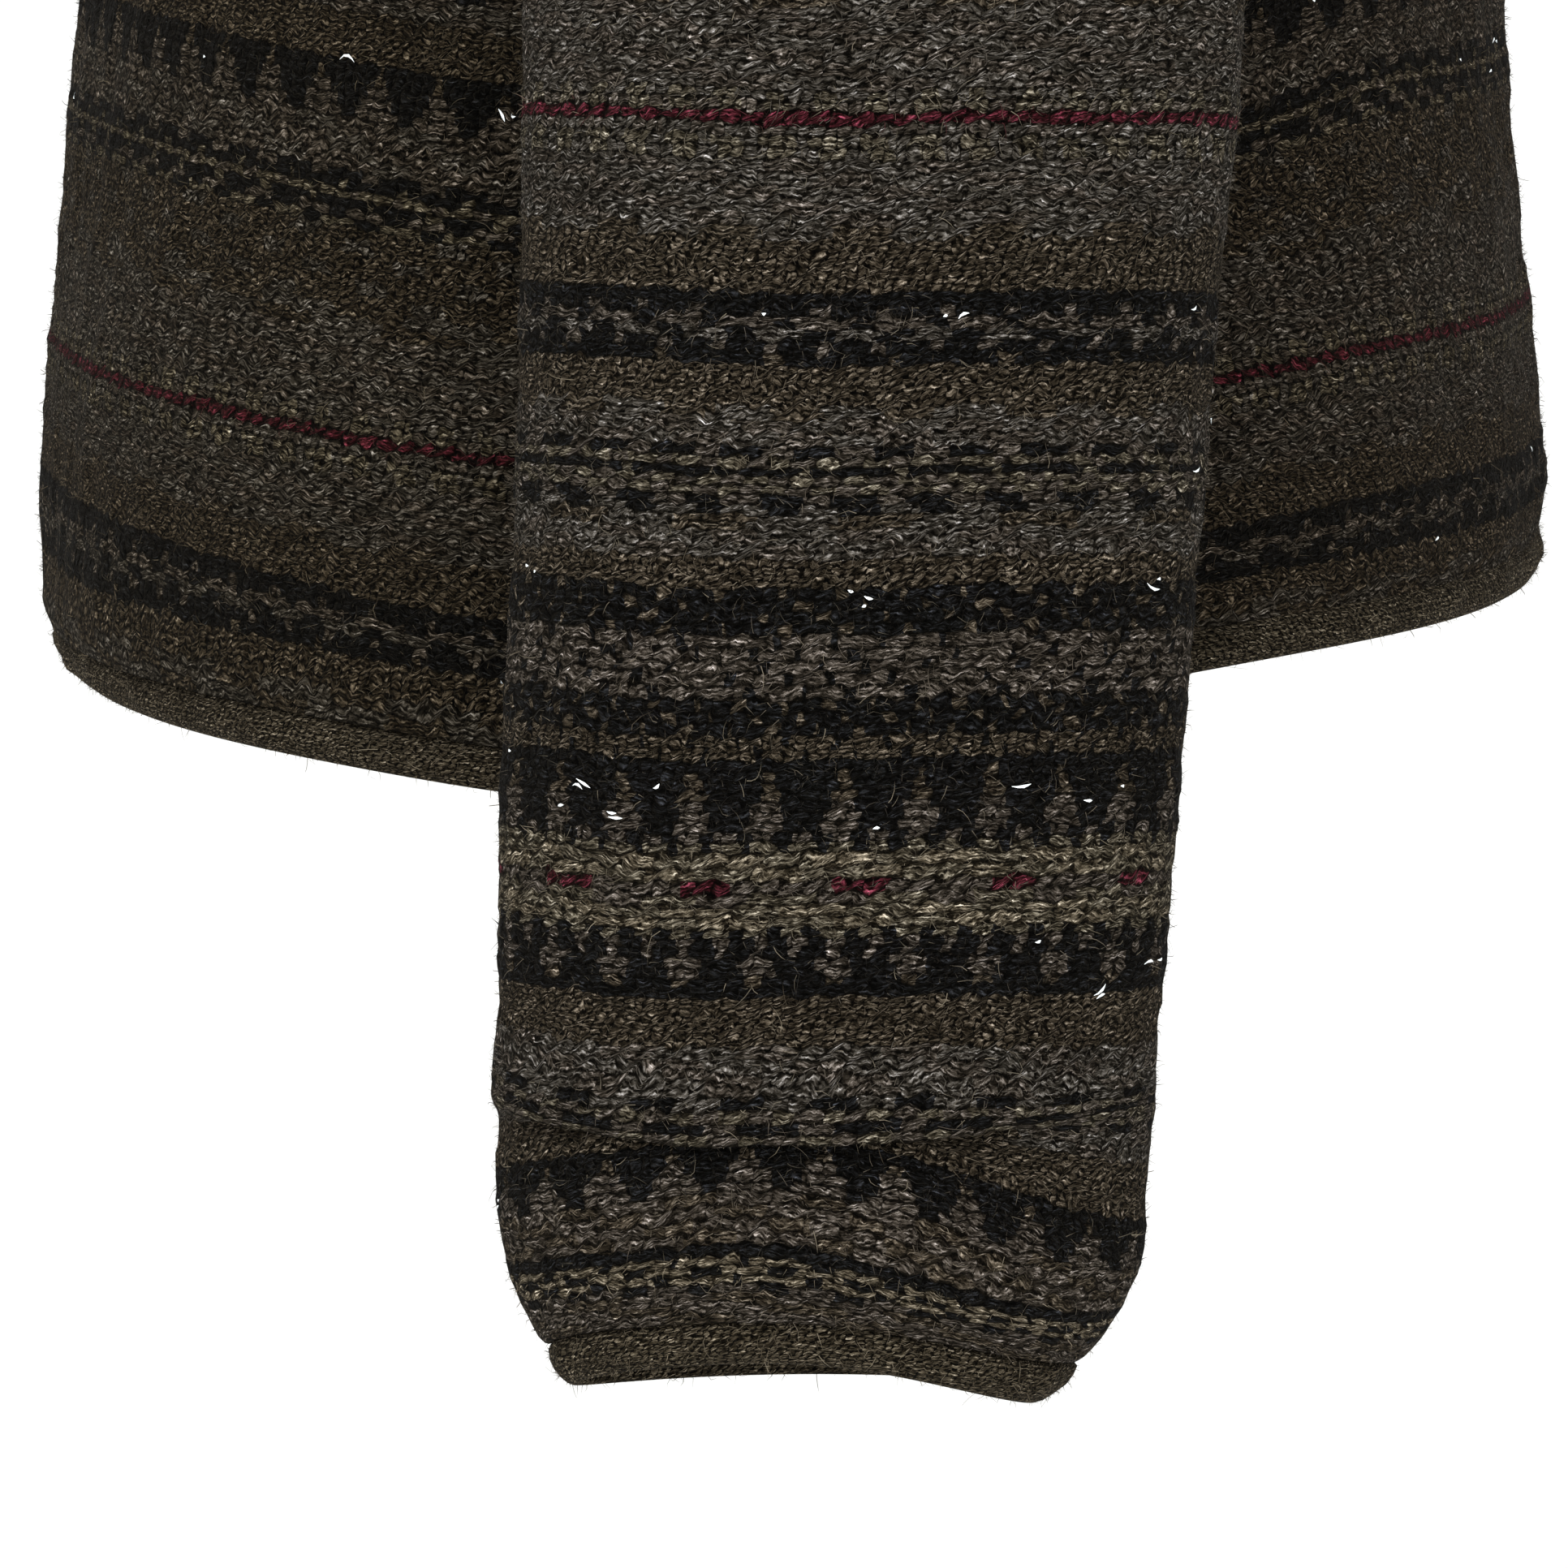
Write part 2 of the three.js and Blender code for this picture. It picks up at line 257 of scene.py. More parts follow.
# %% The body's surface
def shoulder_level(x):
    out = np.maximum(np.abs(x) - NECK_HALF_WIDTH, 0) / (SHOULDER_TIP_X - NECK_HALF_WIDTH)
    return -SHOULDER_DROP * out**SHOULDER_FALL


def top_level(side, x):
    drop = FRONT_NECK_DROP if side < 0 else BACK_NECK_DROP
    across = np.minimum(np.abs(x) / NECK_HALF_WIDTH, 1)
    return np.minimum(-drop * np.sqrt(1 - across**2), shoulder_level(x))


def armhole_depth(level):
    middle = (UNDERARM_LEVEL - SHOULDER_DROP) / 2
    away = np.minimum(np.abs(level - middle) / (-SHOULDER_DROP - middle), 1)
    return ARMHOLE_HALF_DEPTH * np.sqrt(1 - away**2)


def share_across(angle):
    return np.sign(angle) * np.abs(np.sin(angle)) ** (2 / ROUNDNESS)


def roundness_at(angle):
    return np.abs(np.cos(angle)) ** (2 / ROUNDNESS)


def hem_level(side, angle):
    y = side * from_table(BODY_SECTIONS, "level", "front", HEM_LEVEL) * roundness_at(angle)
    dip = HEM_DIP["height"] * np.tanh(y / HEM_DIP["reach"])
    return HEM_LEVEL + dip - SIDE_DROOP["height"] * mound(y, SIDE_DROOP["reach"])


def body_point(side, angle, level):
    """Points on the outside of the body. side is -1 on the front and 1 on the back, and the angle
    runs from 0 in the middle of a panel to a quarter turn at its side seams."""
    across = share_across(angle)
    top = shoulder_level(across * SHOULDER_TIP_X)
    rise = np.clip((level - CHEST_LEVEL) / (top - CHEST_LEVEL), 0, 1)
    closing = np.sqrt(1 - rise**2)
    depth = from_table(BODY_SECTIONS, "level", side_name(side), level) * closing
    round_share = roundness_at(angle)
    if side < 0:
        above = (hem_level(side, angle) + HEM_ROLL["height"] - level) / HEM_ROLL["height"]
        depth = depth - HEM_ROLL["depth"] * np.clip(above, 0, 1) ** 2 * round_share**2
    open_share = armhole_depth(level)
    y = open_share + np.maximum(depth - open_share, 0) * round_share
    x = from_table(BODY_SECTIONS, "level", "half_width", level) * across
    return np.stack([x, side * y, level + 0 * x], axis=-1)


def body_normal(side, angle, level, top):
    step, rise = 0.01, 1
    after = body_point(side, np.minimum(angle + step, math.pi / 2), level)
    before = body_point(side, np.maximum(angle - step, -math.pi / 2), level)
    above = body_point(side, angle, np.minimum(level + rise, top))
    below = body_point(side, angle, level - rise)
    return unit(np.cross(after - before, above - below) * -side)


# %% [markdown]
# The sleeve is a tube of flattened rings. The rings near the cuff lie level, and the upper ones
# turn upright about the underarm to meet the armhole. Above the cuff the sleeve is too long for the
# arm, so the cloth tucks under itself: one band of rows is swallowed on the outside of the arm and
# comes out again towards the back. The cloth above the tuck droops over it as a lip.

# %% Sizes of the sleeve and its tuck
SLEEVE_RINGS = table(
    ("along", "turn", "inner_x", "inner_z", "length", "breadth", "middle_y"),
    (0, 90, 223, -697, 60, 48, 5),
    (9, 90, 222.5, -688, 63, 51, 5),
    (20, 90, 222, -677, 67, 55, 5),
    (32, 90, 221.5, -665, 69, 57, 5.2),
    (46, 90, 221, -651, 70, 57.5, 5.4),
    (107, 90, 219, -590, 74, 59, 8.5),
    (177, 90, 215, -520, 78, 60.5, 12.5),
    (247, 90, 211, -450, 82, 63, 16),
    (297, 90, 207.5, -400, 86, 64, 15),
    (391, 90, 203, -306, 91, 62.5, 10),
    (433, 68, 202, -297, 97, 61, 8),
    (498, 38, 201.5, -290, 118, 58, 5),
    (575, 15, 201, -284, 160, 53, 2),
    (639, 0.9, 200.6, -278, 200, 48, 0),
)
SLEEVE_LENGTH = 639
TUCK = {"from": 41, "to": 57, "depth": 7.5, "lift": 14, "cuff_share": 0.8}
TUCK_LIP = {"above": 1, "reach": 11, "out": 4.8, "droop": 5.4, "droop_reach": 5}
TUCK_MIDDLE = -0.14
TUCK_FADING = {"front": 2.4, "back": 5}
# How far a row lies below its place on the chart, by degrees around (0 is the outside of the arm
# and 90 the back) and by its height up the sleeve.
SAG_HEIGHTS = (7, 14, 22, 34, 46, 60, 80, 110, 150, 190)
SLEEVE_SAG = table(
    ("around", *SAG_HEIGHTS),
    (-180, 0, 1.5, 4.0, 6.0, 7.0, 7.0, 6.0, 6.0, 6.0, 6.0),
    (-135, 0, 1.2, 3.0, 5.0, 5.0, 5.0, 4.5, 4.0, 3.8, 3.5),
    (-90, 0, 1.2, 2.2, 4.0, 3.6, 0.2, 2.7, 2.4, 1.8, 1.3),
    (-60, 0, 1.5, 3.2, 4.4, 4.0, 0.8, 2.0, 1.5, 0.8, 0.1),
    (-35, 0, 1.5, 3.2, 4.4, 4.2, 0.8, 2.6, 2.3, 1.3, 0.1),
    (-10, 0, 1.5, 2.8, 3.0, 2.9, 0.2, 1.8, 1.5, 1.2, 0.7),
    (15, 0, 2.8, 5.8, 4.8, 3.8, 0.4, 1.4, 0.9, 0.6, 0.3),
    (40, 0, 3.2, 7.0, 7.2, 6.6, 2.6, 2.2, 1.2, 0.9, 0.8),
    (65, 0, 3.0, 6.5, 8.4, 8.4, 4.0, 3.2, 1.8, 1.9, 2.0),
    (90, 0, 2.8, 5.8, 8.6, 9.0, 4.8, 4.4, 3.7, 3.9, 4.0),
    (135, 0, 2.2, 5.0, 7.5, 8.0, 7.0, 6.0, 6.0, 6.0, 6.0),
    (180, 0, 1.5, 4.0, 6.0, 7.0, 7.0, 6.0, 6.0, 6.0, 6.0),
)
SAG_FADING = {"from": 480, "to": 610}
# The cuff curls in towards the hand, most at the back of the arm.
CURL = table(
    ("around", "reach", "inward", "height"),
    (85, 42, 6.5, 26),
    (-80, 40, 1.5, 45),
)


def row_sag(around, along):
    turned = np.degrees(around)
    total = before = 0 * turned
    for low, high in zip(SAG_HEIGHTS, SAG_HEIGHTS[1:]):
        after = from_table(SLEEVE_SAG, "around", high, turned)
        total = total + (after - before) * np.clip((along - low) / (high - low), 0, 1)
        before = after
    return total * (1 - smooth(SAG_FADING["from"], SAG_FADING["to"], along))


def curl(around, along):
    total = 0 * around
    for row in CURL:
        share = mound(np.degrees(around) - row["around"], row["reach"])
        total = total + row["inward"] * share * np.clip(1 - along / row["height"], 0, 1) ** 1.5
    return total


def tuck_share(around):
    away = np.arctan2(np.sin(around - TUCK_MIDDLE), np.cos(around - TUCK_MIDDLE))
    facing = 0.5 + 0.5 * np.cos(away)
    return facing ** np.where(away < 0, TUCK_FADING["front"], TUCK_FADING["back"])


def sleeve_point(around, along, inward=0.0):
    """Points on the left sleeve. around is 0 on the outside of the arm and positive to the back."""
    place = along - row_sag(around, along)

    def value(column):
        return from_table(SLEEVE_RINGS, "along", column, place)

    turn = np.radians(value("turn"))
    share = tuck_share(around)
    folded = np.clip((TUCK["to"] - place) / (TUCK["to"] - TUCK["from"]), 0, 1)
    low = TUCK["cuff_share"] + (1 - TUCK["cuff_share"]) * np.clip(place / TUCK["from"], 0, 1)
    from_lip = place - TUCK["to"] - TUCK_LIP["above"]
    over = np.where(folded < 1, TUCK_LIP["out"] * mound(from_lip, TUCK_LIP["reach"]), 0)
    droop = TUCK_LIP["droop"] * mound(from_lip, TUCK_LIP["droop_reach"])
    sunk = TUCK["depth"] * np.sin(np.pi * folded) ** 2
    grow = share**1.5 * (over - sunk) - inward - curl(around, place)
    half = value("length") / 2
    middle_out = half + (half + grow) * np.cos(around)
    x = value("inner_x") + np.sin(turn) * middle_out
    y = value("middle_y") + (value("breadth") + grow) * np.sin(around)
    z = value("inner_z") + np.cos(turn) * middle_out + share * (TUCK["lift"] * folded * low - droop)
    return np.stack([x, y, z], axis=-1)


def sleeve_normal(around, along):
    step, rise = 0.03, 1.5
    after = sleeve_point(around + step, along)
    before = sleeve_point(around - step, along)
    above = sleeve_point(around, np.minimum(along + rise, SLEEVE_LENGTH))
    below = sleeve_point(around, np.maximum(along - rise, 0))
    return unit(np.cross(after - before, above - below))


# %% [markdown]
# ## Creases
# Worn knitwear lies almost smooth where it hangs free, and creases where the arm bends it: at the
# underarm, on the inside of the elbow and below the shoulder. Each crease is one row of a table, a
# soft trough or ridge along a line, as uneven as real ones. Whole panels also wave very gently.

# %% Name the creases
BODY_CREASES = table(
    ("x0", "z0", "x1", "z1", "width", "front", "back"),
    # x and level of both ends, how wide and deep (troughs are negative), on the front and back
    (192, -282, 96, -196, 12, -3.2, -2.2),
    (196, -306, 112, -262, 10, -2.4, -2.8),
    (190, -262, 142, -168, 9, 2.2, 1.8),
    (196, -330, 150, -420, 15, -2.2, -1.6),
    (176, -350, 168, -470, 17, 1.8, 2.2),
    (150, -130, 70, -170, 13, -1.6, -1.2),
    (-190, -276, -104, -206, 11, -2.8, -2.6),
    (-197, -300, -120, -276, 12, -2.6, -2.0),
    (-188, -258, -150, -176, 8, 2.0, 2.4),
    (-196, -336, -160, -440, 14, -2.0, -2.4),
    (-172, -360, -176, -486, 16, 2.0, 1.6),
    (-140, -140, -64, -164, 14, -1.2, -1.8),
    (-40, -380, 50, -396, 18, -0.8, -1.8),
    (24, -300, 110, -330, 16, -0.9, -1.4),
)
SLEEVE_CREASES = table(
    ("a0", "s0", "a1", "s1", "width", "depth"),
    # degrees around and the length along of both ends, with width and depth in millimetres
    (-170, 352, -62, 330, 8, -2.6),
    (-160, 372, -48, 366, 9, 2.2),
    (-150, 318, -74, 304, 9, -1.8),
    (-176, 410, -58, 398, 11, -3.0),
    (178, 430, 66, 404, 11, -3.2),
    (172, 396, 84, 372, 9, 1.8),
    (-168, 462, -42, 438, 13, -2.6),
    (170, 474, 40, 452, 13, -2.2),
    (-60, 520, 10, 498, 18, -1.2),
    (150, 300, 60, 318, 12, -1.2),
)


CREASE_BEND = 0.05
WAVES = ((170, 0.9), (95, 0.55), (52, 0.35), (31, 0.26), (17, 0.24), (9.5, 0.16))
WAVE_BEND = {"reach": 0.8, "length": 40}
BODY_WAVES, SLEEVE_WAVES = 0.8, 0.6
HALF_GIRTH = 60


def along_crease(across, level, start, end, width):
    """How much of a crease each point has: all on its line, fading to its ends and sides."""
    run = np.array(end, float) - start
    length = np.linalg.norm(run)
    place = ((across - start[0]) * run[0] + (level - start[1]) * run[1]) / length**2
    aside = ((across - start[0]) * run[1] - (level - start[1]) * run[0]) / length
    bend = aside + CREASE_BEND * length * np.sin(np.pi * np.clip(place, 0, 1))
    fading = np.sin(np.pi * np.clip(0.12 + 0.88 * place, 0, 1)) ** 1.3
    fading = np.where((place > -0.12) & (place < 1), fading, 0)
    return fading * mound(bend, width)


def waves(across, level, seed):
    """A very gentle unevenness, a sum of long waves that never repeat together."""
    turns = np.random.default_rng(seed)
    total = 0
    for length, height in WAVES:
        angle, phase = turns.uniform(0, math.pi), turns.uniform(0, 2 * math.pi)
        run = across * math.cos(angle) + level * math.sin(angle)
        bend = WAVE_BEND["reach"] * np.sin(level / WAVE_BEND["length"] + phase)
        total = total + height * np.sin(2 * math.pi * run / length + phase + bend)
    return total


def body_creases(side, points):
    x, level = points[..., 0], points[..., 2]
    depth = BODY_WAVES * waves(x, level, 5 + side)
    for row in BODY_CREASES:
        start, end = (row["x0"], row["z0"]), (row["x1"], row["z1"])
        share = along_crease(x, level, start, end, row["width"])
        depth = depth + row[side_name(side)] * share
    return depth


def sleeve_creases(around, along):
    across = around * HALF_GIRTH
    facing = 0.35 + 0.65 * np.cos(around / 2) ** 2
    depth = SLEEVE_WAVES * waves(across, along, 11) * facing
    for row in SLEEVE_CREASES:
        start = math.radians(row["a0"]) * HALF_GIRTH, row["s0"]
        end = math.radians(row["a1"]) * HALF_GIRTH, row["s1"]
        depth = depth + row["depth"] * along_crease(across, along, start, end, row["width"])
    return depth


print(len(BODY_CREASES), "creases on each panel and", len(SLEEVE_CREASES), "on each sleeve")

# %% [markdown]
# ## The chart
# Fair isle is knitted in rounds of two colours at a time, read from a chart. Each line here is a
# few rows that are alike: how many, how tall one is, the stitch, the ground colour, the second
# colour, the share of each repeat that the second colour takes, the repeat in millimetres and where
# it starts. Long stitches lie in the coarse rows and small ones in the fine rows. Trees are charted
# row by row, each row's stitches a little wider than those above.

# %% Yarn colours
YARN = {
    "brown": "#3a3329",
    "taupe": "#403a33",
    "grey": "#413d37",
    "oat": "#564e40",
    "straw": "#4b4539",
    "black": "#101010",
    "wine": "#3c161c",
    "bark": "#322d24",
    "umber": "#3f382c",
}
print(len(YARN), "yarns")

# %% Stitches
# width: how long one stitch is along its row. courses: how many courses fill one charted row.
# tilt: how far one end of a stitch stands above the other, in courses.
STITCHES = {
    "fine": {"width": 2.1, "courses": 2, "tilt": 0.45},
    "long": {"width": 4.8, "courses": 2, "tilt": 0.3},
    "float": {"width": 6.6, "courses": 1, "tilt": 0.2},
    "small": {"width": 2.24, "courses": 1, "tilt": 0.3},
    "wide": {"width": 4.2, "courses": 1, "tilt": 0.3},
    "motif": {"width": 3.3, "courses": 1, "tilt": 0.2},
    "rope": {"width": 3.9, "courses": 1, "tilt": 0.6},
    "rib": {"width": 1.7, "courses": 2, "tilt": 0.5},
}
print(len(STITCHES), "stitches")

# %% The chart from the bottom up
TREE = 13.45
LUMP = TREE / 2
TREE_ROWS = [
    (1, 1.8, "motif", "black", "taupe", 0.74, TREE, 0.5),
    (1, 1.8, "motif", "black", "taupe", 0.54, TREE, 0.5),
    (1, 1.8, "motif", "black", "taupe", 0.36, TREE, 0.5),
    (1, 1.8, "small", "black", "brown", 0.16, TREE, 0.5),
    (1, 1.8, "small", "black", "brown", 0.06, TREE, 0.5),
]
CUFF_ROWS = [
    (3, 2.43, "long", "taupe", "brown", 0.4, 31, 0.2),
    (1, 1.85, "wide", "taupe", "black", 0.36, TREE, 0.1),
    (1, 1.85, "wide", "oat", "black", 0.24, TREE, 0.6),
    (1, 1.85, "wide", "oat", "black", 0.42, TREE, 0.0),
    (1, 1.85, "wide", "oat", "black", 0.2, TREE, 0.5),
    (1, 2.2, "wide", "black", "black", 0, TREE, 0),
    (4, 2.25, "float", "taupe", "brown", 0.4, 23, 0.4),
]
CLOUD_ROWS = [
    (1, 1.2, "wide", "taupe", "straw", 0.4, 8, 0.2),
    (1, 1.4, "wide", "straw", "taupe", 0.5, 11, 0.2),
    (1, 1.1, "wide", "taupe", "black", 0.66, 17, 0.1),
    (1, 1.3, "wide", "taupe", "straw", 0.5, 9, 0.4),
    (1, 1.3, "wide", "grey", "black", 0.5, 16, 0.5),
    (3, 2.33, "long", "grey", "taupe", 0.4, 26, 0.2),
]
BUD_ROWS = [
    (1, 1.9, "long", "black", "black", 0, TREE, 0),
    (1, 1.7, "motif", "black", "brown", 0.22, TREE, 0.5),
    (1, 1.7, "motif", "black", "taupe", 0.42, TREE, 0.5),
    (1, 1.7, "motif", "black", "taupe", 0.46, TREE, 0.5),
    (1, 1.7, "small", "black", "taupe", 0.30, LUMP, 0.5),
    (1, 1.7, "small", "black", "taupe", 0.40, LUMP, 0.5),
    (1, 1.6, "motif", "straw", "black", 0.44, LUMP, 0.1),
]
WINE_DASH_ROWS = [
    (2, 2.0, "float", "straw", "oat", 0.55, 22, 0.3),
    (1, 2.0, "float", "taupe", "straw", 0.5, 20, 0),
    (1, 2.2, "rope", "taupe", "wine", 0.34, 27.6, 0.35),
    (2, 2.4, "float", "straw", "oat", 0.5, 19, 0.1),
]
TALL_TREE_ROWS = [
    (1, 1.78, "motif", "straw", "black", 0.26, LUMP, 0.0),
    (1, 1.78, "small", "black", "taupe", 0.5, LUMP, 0.5),
    (1, 1.78, "motif", "black", "taupe", 0.5, TREE, 0.5),
    (1, 1.78, "motif", "black", "taupe", 0.46, TREE, 0.5),
    (1, 1.78, "motif", "black", "taupe", 0.40, TREE, 0.5),
    (1, 1.78, "motif", "black", "brown", 0.30, TREE, 0.5),
    (1, 1.78, "small", "black", "brown", 0.18, TREE, 0.5),
    (1, 1.78, "small", "black", "brown", 0.12, TREE, 0.5),
    (1, 1.78, "small", "black", "black", 0, TREE, 0.5),
]
DARK_BAND_ROWS = [
    (2, 2.0, "fine", "brown", "black", 0.12, 9, 0.3),
    (3, 2.13, "motif", "black", "brown", 0.2, 8, 0.2),
    (5, 2.2, "float", "taupe", "black", 0.14, 9.3, 0.4),
    (4, 2.0, "motif", "black", "brown", 0.17, 11, 0.6),
    (2, 2.5, "fine", "brown", "brown", 0, 20, 0),
    (2, 2.5, "long", "grey", "taupe", 0.4, 23, 0.1),
    (1, 2.4, "long", "grey", "brown", 0.5, 29, 0.4),
]
THREAD_ROWS = [
    (1, 1.7, "wide", "grey", "black", 0.42, TREE, 0.5),
    (1, 1.7, "wide", "taupe", "black", 0.56, TREE, 0.6),
    (2, 1.6, "wide", "taupe", "straw", 0.5, 8.8, 0.2),
    (1, 1.4, "wide", "black", "straw", 0.12, 17, 0.1),
    (1, 1.8, "wide", "straw", "taupe", 0.4, 8.8, 0.7),
    (1, 1.8, "wide", "taupe", "black", 0.58, TREE, 0.1),
    (2, 2.27, "long", "taupe", "grey", 0.5, 19, 0.6),
    (1, 2.27, "long", "grey", "brown", 0.45, 21, 0.1),
    (3, 2.33, "fine", "brown", "brown", 0, 20, 0),
]
STRIPE_ROWS = [
    (1, 2.1, "long", "black", "brown", 0.1, 21, 0.3),
    (1, 2.1, "small", "black", "taupe", 0.24, 9.7, 0.3),
    (1, 2.0, "long", "grey", "black", 0.38, TREE, 0.2),
    (1, 2.0, "long", "taupe", "black", 0.22, TREE, 0.6),
    (1, 2.1, "small", "black", "taupe", 0.2, 11.3, 0.3),
    (1, 2.1, "long", "black", "black", 0, 20, 0.3),
    (4, 2.33, "fine", "brown", "brown", 0, 20, 0),
    (1, 2.25, "long", "brown", "grey", 0.6, 24, 0.1),
    (5, 2.25, "long", "grey", "taupe", 0.4, 27, 0.6),
    (1, 2.0, "small", "grey", "straw", 0.5, 8.8, 0.5),
    (1, 2.0, "small", "straw", "grey", 0.4, 8.8, 0.1),
    (1, 2.1, "small", "grey", "taupe", 0.5, 12, 0.1),
    (1, 2.0, "rope", "wine", "wine", 0, 20, 0),
    (1, 2.0, "small", "straw", "taupe", 0.5, 8.8, 0.1),
    (1, 1.8, "small", "grey", "straw", 0.4, 8.8, 0.6),
    (6, 2.35, "long", "grey", "taupe", 0.45, 29, 0.4),
]
PLAIN_ROWS = [
    (2, 2.25, "long", "grey", "brown", 0.5, 33, 0),
    (6, 2.25, "fine", "brown", "grey", 0.2, 33, 0),
]
LINE_ROWS = [
    (1, 1.6, "wide", "straw", "black", 0.40, TREE, 0.5),
    (1, 1.6, "wide", "taupe", "black", 0.40, TREE, 0.1),
    (1, 1.5, "wide", "black", "straw", 0.2, TREE, 0.5),
    (1, 1.6, "wide", "straw", "taupe", 0.3, 9, 0.5),
    (1, 1.6, "wide", "black", "straw", 0.16, TREE, 0),
    (1, 1.6, "wide", "black", "taupe", 0.36, TREE, 0.5),
    (3, 2.6, "long", "taupe", "grey", 0.4, 25, 0.3),
]
TUCKED_ROWS = [
    (4, 2.2, "fine", "brown", "brown", 0, 20, 0),
    (2, 2.2, "long", "grey", "taupe", 0.4, 24, 0.3),
    (1, 1.4, "small", "taupe", "black", 0.45, TREE, 0.1),
]
SHORT_BROWN_ROWS = [(4, 2.25, "fine", "brown", "brown", 0, 20, 0)]

# %% [markdown]
# The sleeve starts at its cuff and the body at its hem, with the chart's stripes at the same
# heights as the rest, and both go on through the same sequence up to the shoulder.

# %% Put the charts together
BODY_START, BODY_END = 7.8, 640
SLEEVE_START = 7.3
ROW_SHIFT = 0.37
MIDDLE_ROWS = [
    *CLOUD_ROWS, *SHORT_BROWN_ROWS, *BUD_ROWS, *WINE_DASH_ROWS,
    *TALL_TREE_ROWS, *DARK_BAND_ROWS, *THREAD_ROWS, *STRIPE_ROWS,
]
UPPER_ROWS = [*PLAIN_ROWS, *LINE_ROWS, *TREE_ROWS, *TUCKED_ROWS, *MIDDLE_ROWS]
HEM_ROWS = [
    (2, 2.6, "long", "grey", "brown", 0.4, 31, 0.6),
    (2, 2.7, "fine", "brown", "brown", 0, 20, 0),
]
SLEEVE_CHART = [*CUFF_ROWS, *TREE_ROWS, *TUCKED_ROWS, *MIDDLE_ROWS, *UPPER_ROWS, *UPPER_ROWS]
BODY_CHART = [*HEM_ROWS, *STRIPE_ROWS, *UPPER_ROWS, *UPPER_ROWS, *UPPER_ROWS]


def read_chart(chart, start, end):
    """Gives the edges of every row up to a length, and what is knitted in each."""
    edges, rows = [start], []
    for count, height, stitch, ground, second, share, repeat, shift in chart:
        for place in range(count):
            if edges[-1] < end:
                edges.append(min(edges[-1] + height, end))
                rows.append((stitch, ground, second, share, repeat, shift + ROW_SHIFT * place))
    return np.array(edges), rows


sleeve_edges, sleeve_rows = read_chart(SLEEVE_CHART, SLEEVE_START, SLEEVE_LENGTH)
body_edges, body_rows = read_chart(BODY_CHART, BODY_START, BODY_END)
print(len(sleeve_rows), "charted rows up a sleeve and", len(body_rows), "up the body")

# %% [markdown]
# ## The knit material
# The yarn is a soft woollen spun yarn, brushed after knitting, so its surface is matt with a pale
# nap at the edges: high roughness and a little sheen. Every face of the cloth knows its row's
# colours and stitch from attributes, and a map gives millimetres across and rows up. The nodes draw
# one stitch in each cell of a brick pattern, with painted shade in the gaps between stitches and in
# small pits, and fibres along it, some with painted highlights. Loose hairs are painted pale as a
# highlight. The measures come first. A noise's scale is how many of its lumps fit in a millimetre,
# and its shifts are in millimetres across and in rows up.

# %% Measure the stitches
ROW_HEIGHT = 2.1
GAP_DEPTH = 0.0011
SWAY = {"scale": 0.34, "detail": 3.0, "across": 3.4, "row": 0.55}
RAGGED = {"scale": 1.9, "detail": 2.0, "across": 0.4, "row": 0.22}
LOOSE_COURSE = 0.9
OWN_TILT = 0.35
STITCH_ENDS = {"sharpness": 3.5, "share": 0.7}
STITCH_SIDES = {"width": 2.05, "sharpness": 2.0}
ROUND_STITCH = 0.35
UNEVEN_REPEAT = 0.12
print("stitches sway up to", SWAY["across"] / 2, "mm along their row")

# %% Measure the fibres and tones
# Tones are factors on the yarn's colour, and the four numbers of a tone turn a range into them.
# Fibres vary with the yarn's own mix, and the strong contrast adds painted highlights and shade.
FIBRE = {"own_slant": 0.5, "tilt_share": 0.5, "stretch": (0.5, 3.7, 1.0), "contrast": 10.5}
FIBRE_NOISE = {"Scale": 1.0, "Detail": 3.0, "Distortion": 0.15}
PIT_STRETCH = (0.36, 1.5, 1.0)
PIT_NOISE = {"Scale": 1.9, "Detail": 1.0}
PATCH_NOISE = {"Scale": 0.075, "Detail": 2.0}
HAIR = {"scale": 0.8, "half_width": 0.022, "patch_scale": 0.33, "shown": (0.5, 0.62), "share": 0.45}
STITCH_TONE = (0.0, 1.0, 0.86, 1.14)
# Small pits among the fibres are darkened as painted shade.
PIT_PAINTED_SHADE = (0.36, 0.56, 0.1, 1.12)
PATCH_TONE = (0.3, 0.7, 0.9, 1.1)
# Gaps between stitches are darkened as painted shade; stitch tops lift a little as painted
# highlight.
GAP_PAINTED_SHADE = {"dark_per_width": 0.02, "full_at": 0.6, "light": 1.1}
GREEN_POWER, BLUE_POWER = 1.03, 1.1
FIBRE_RELIEF, HAIR_RELIEF = 0.7, 0.3
print("fibres are", round(FIBRE["stretch"][1] / FIBRE["stretch"][0], 1), "times as long as wide")


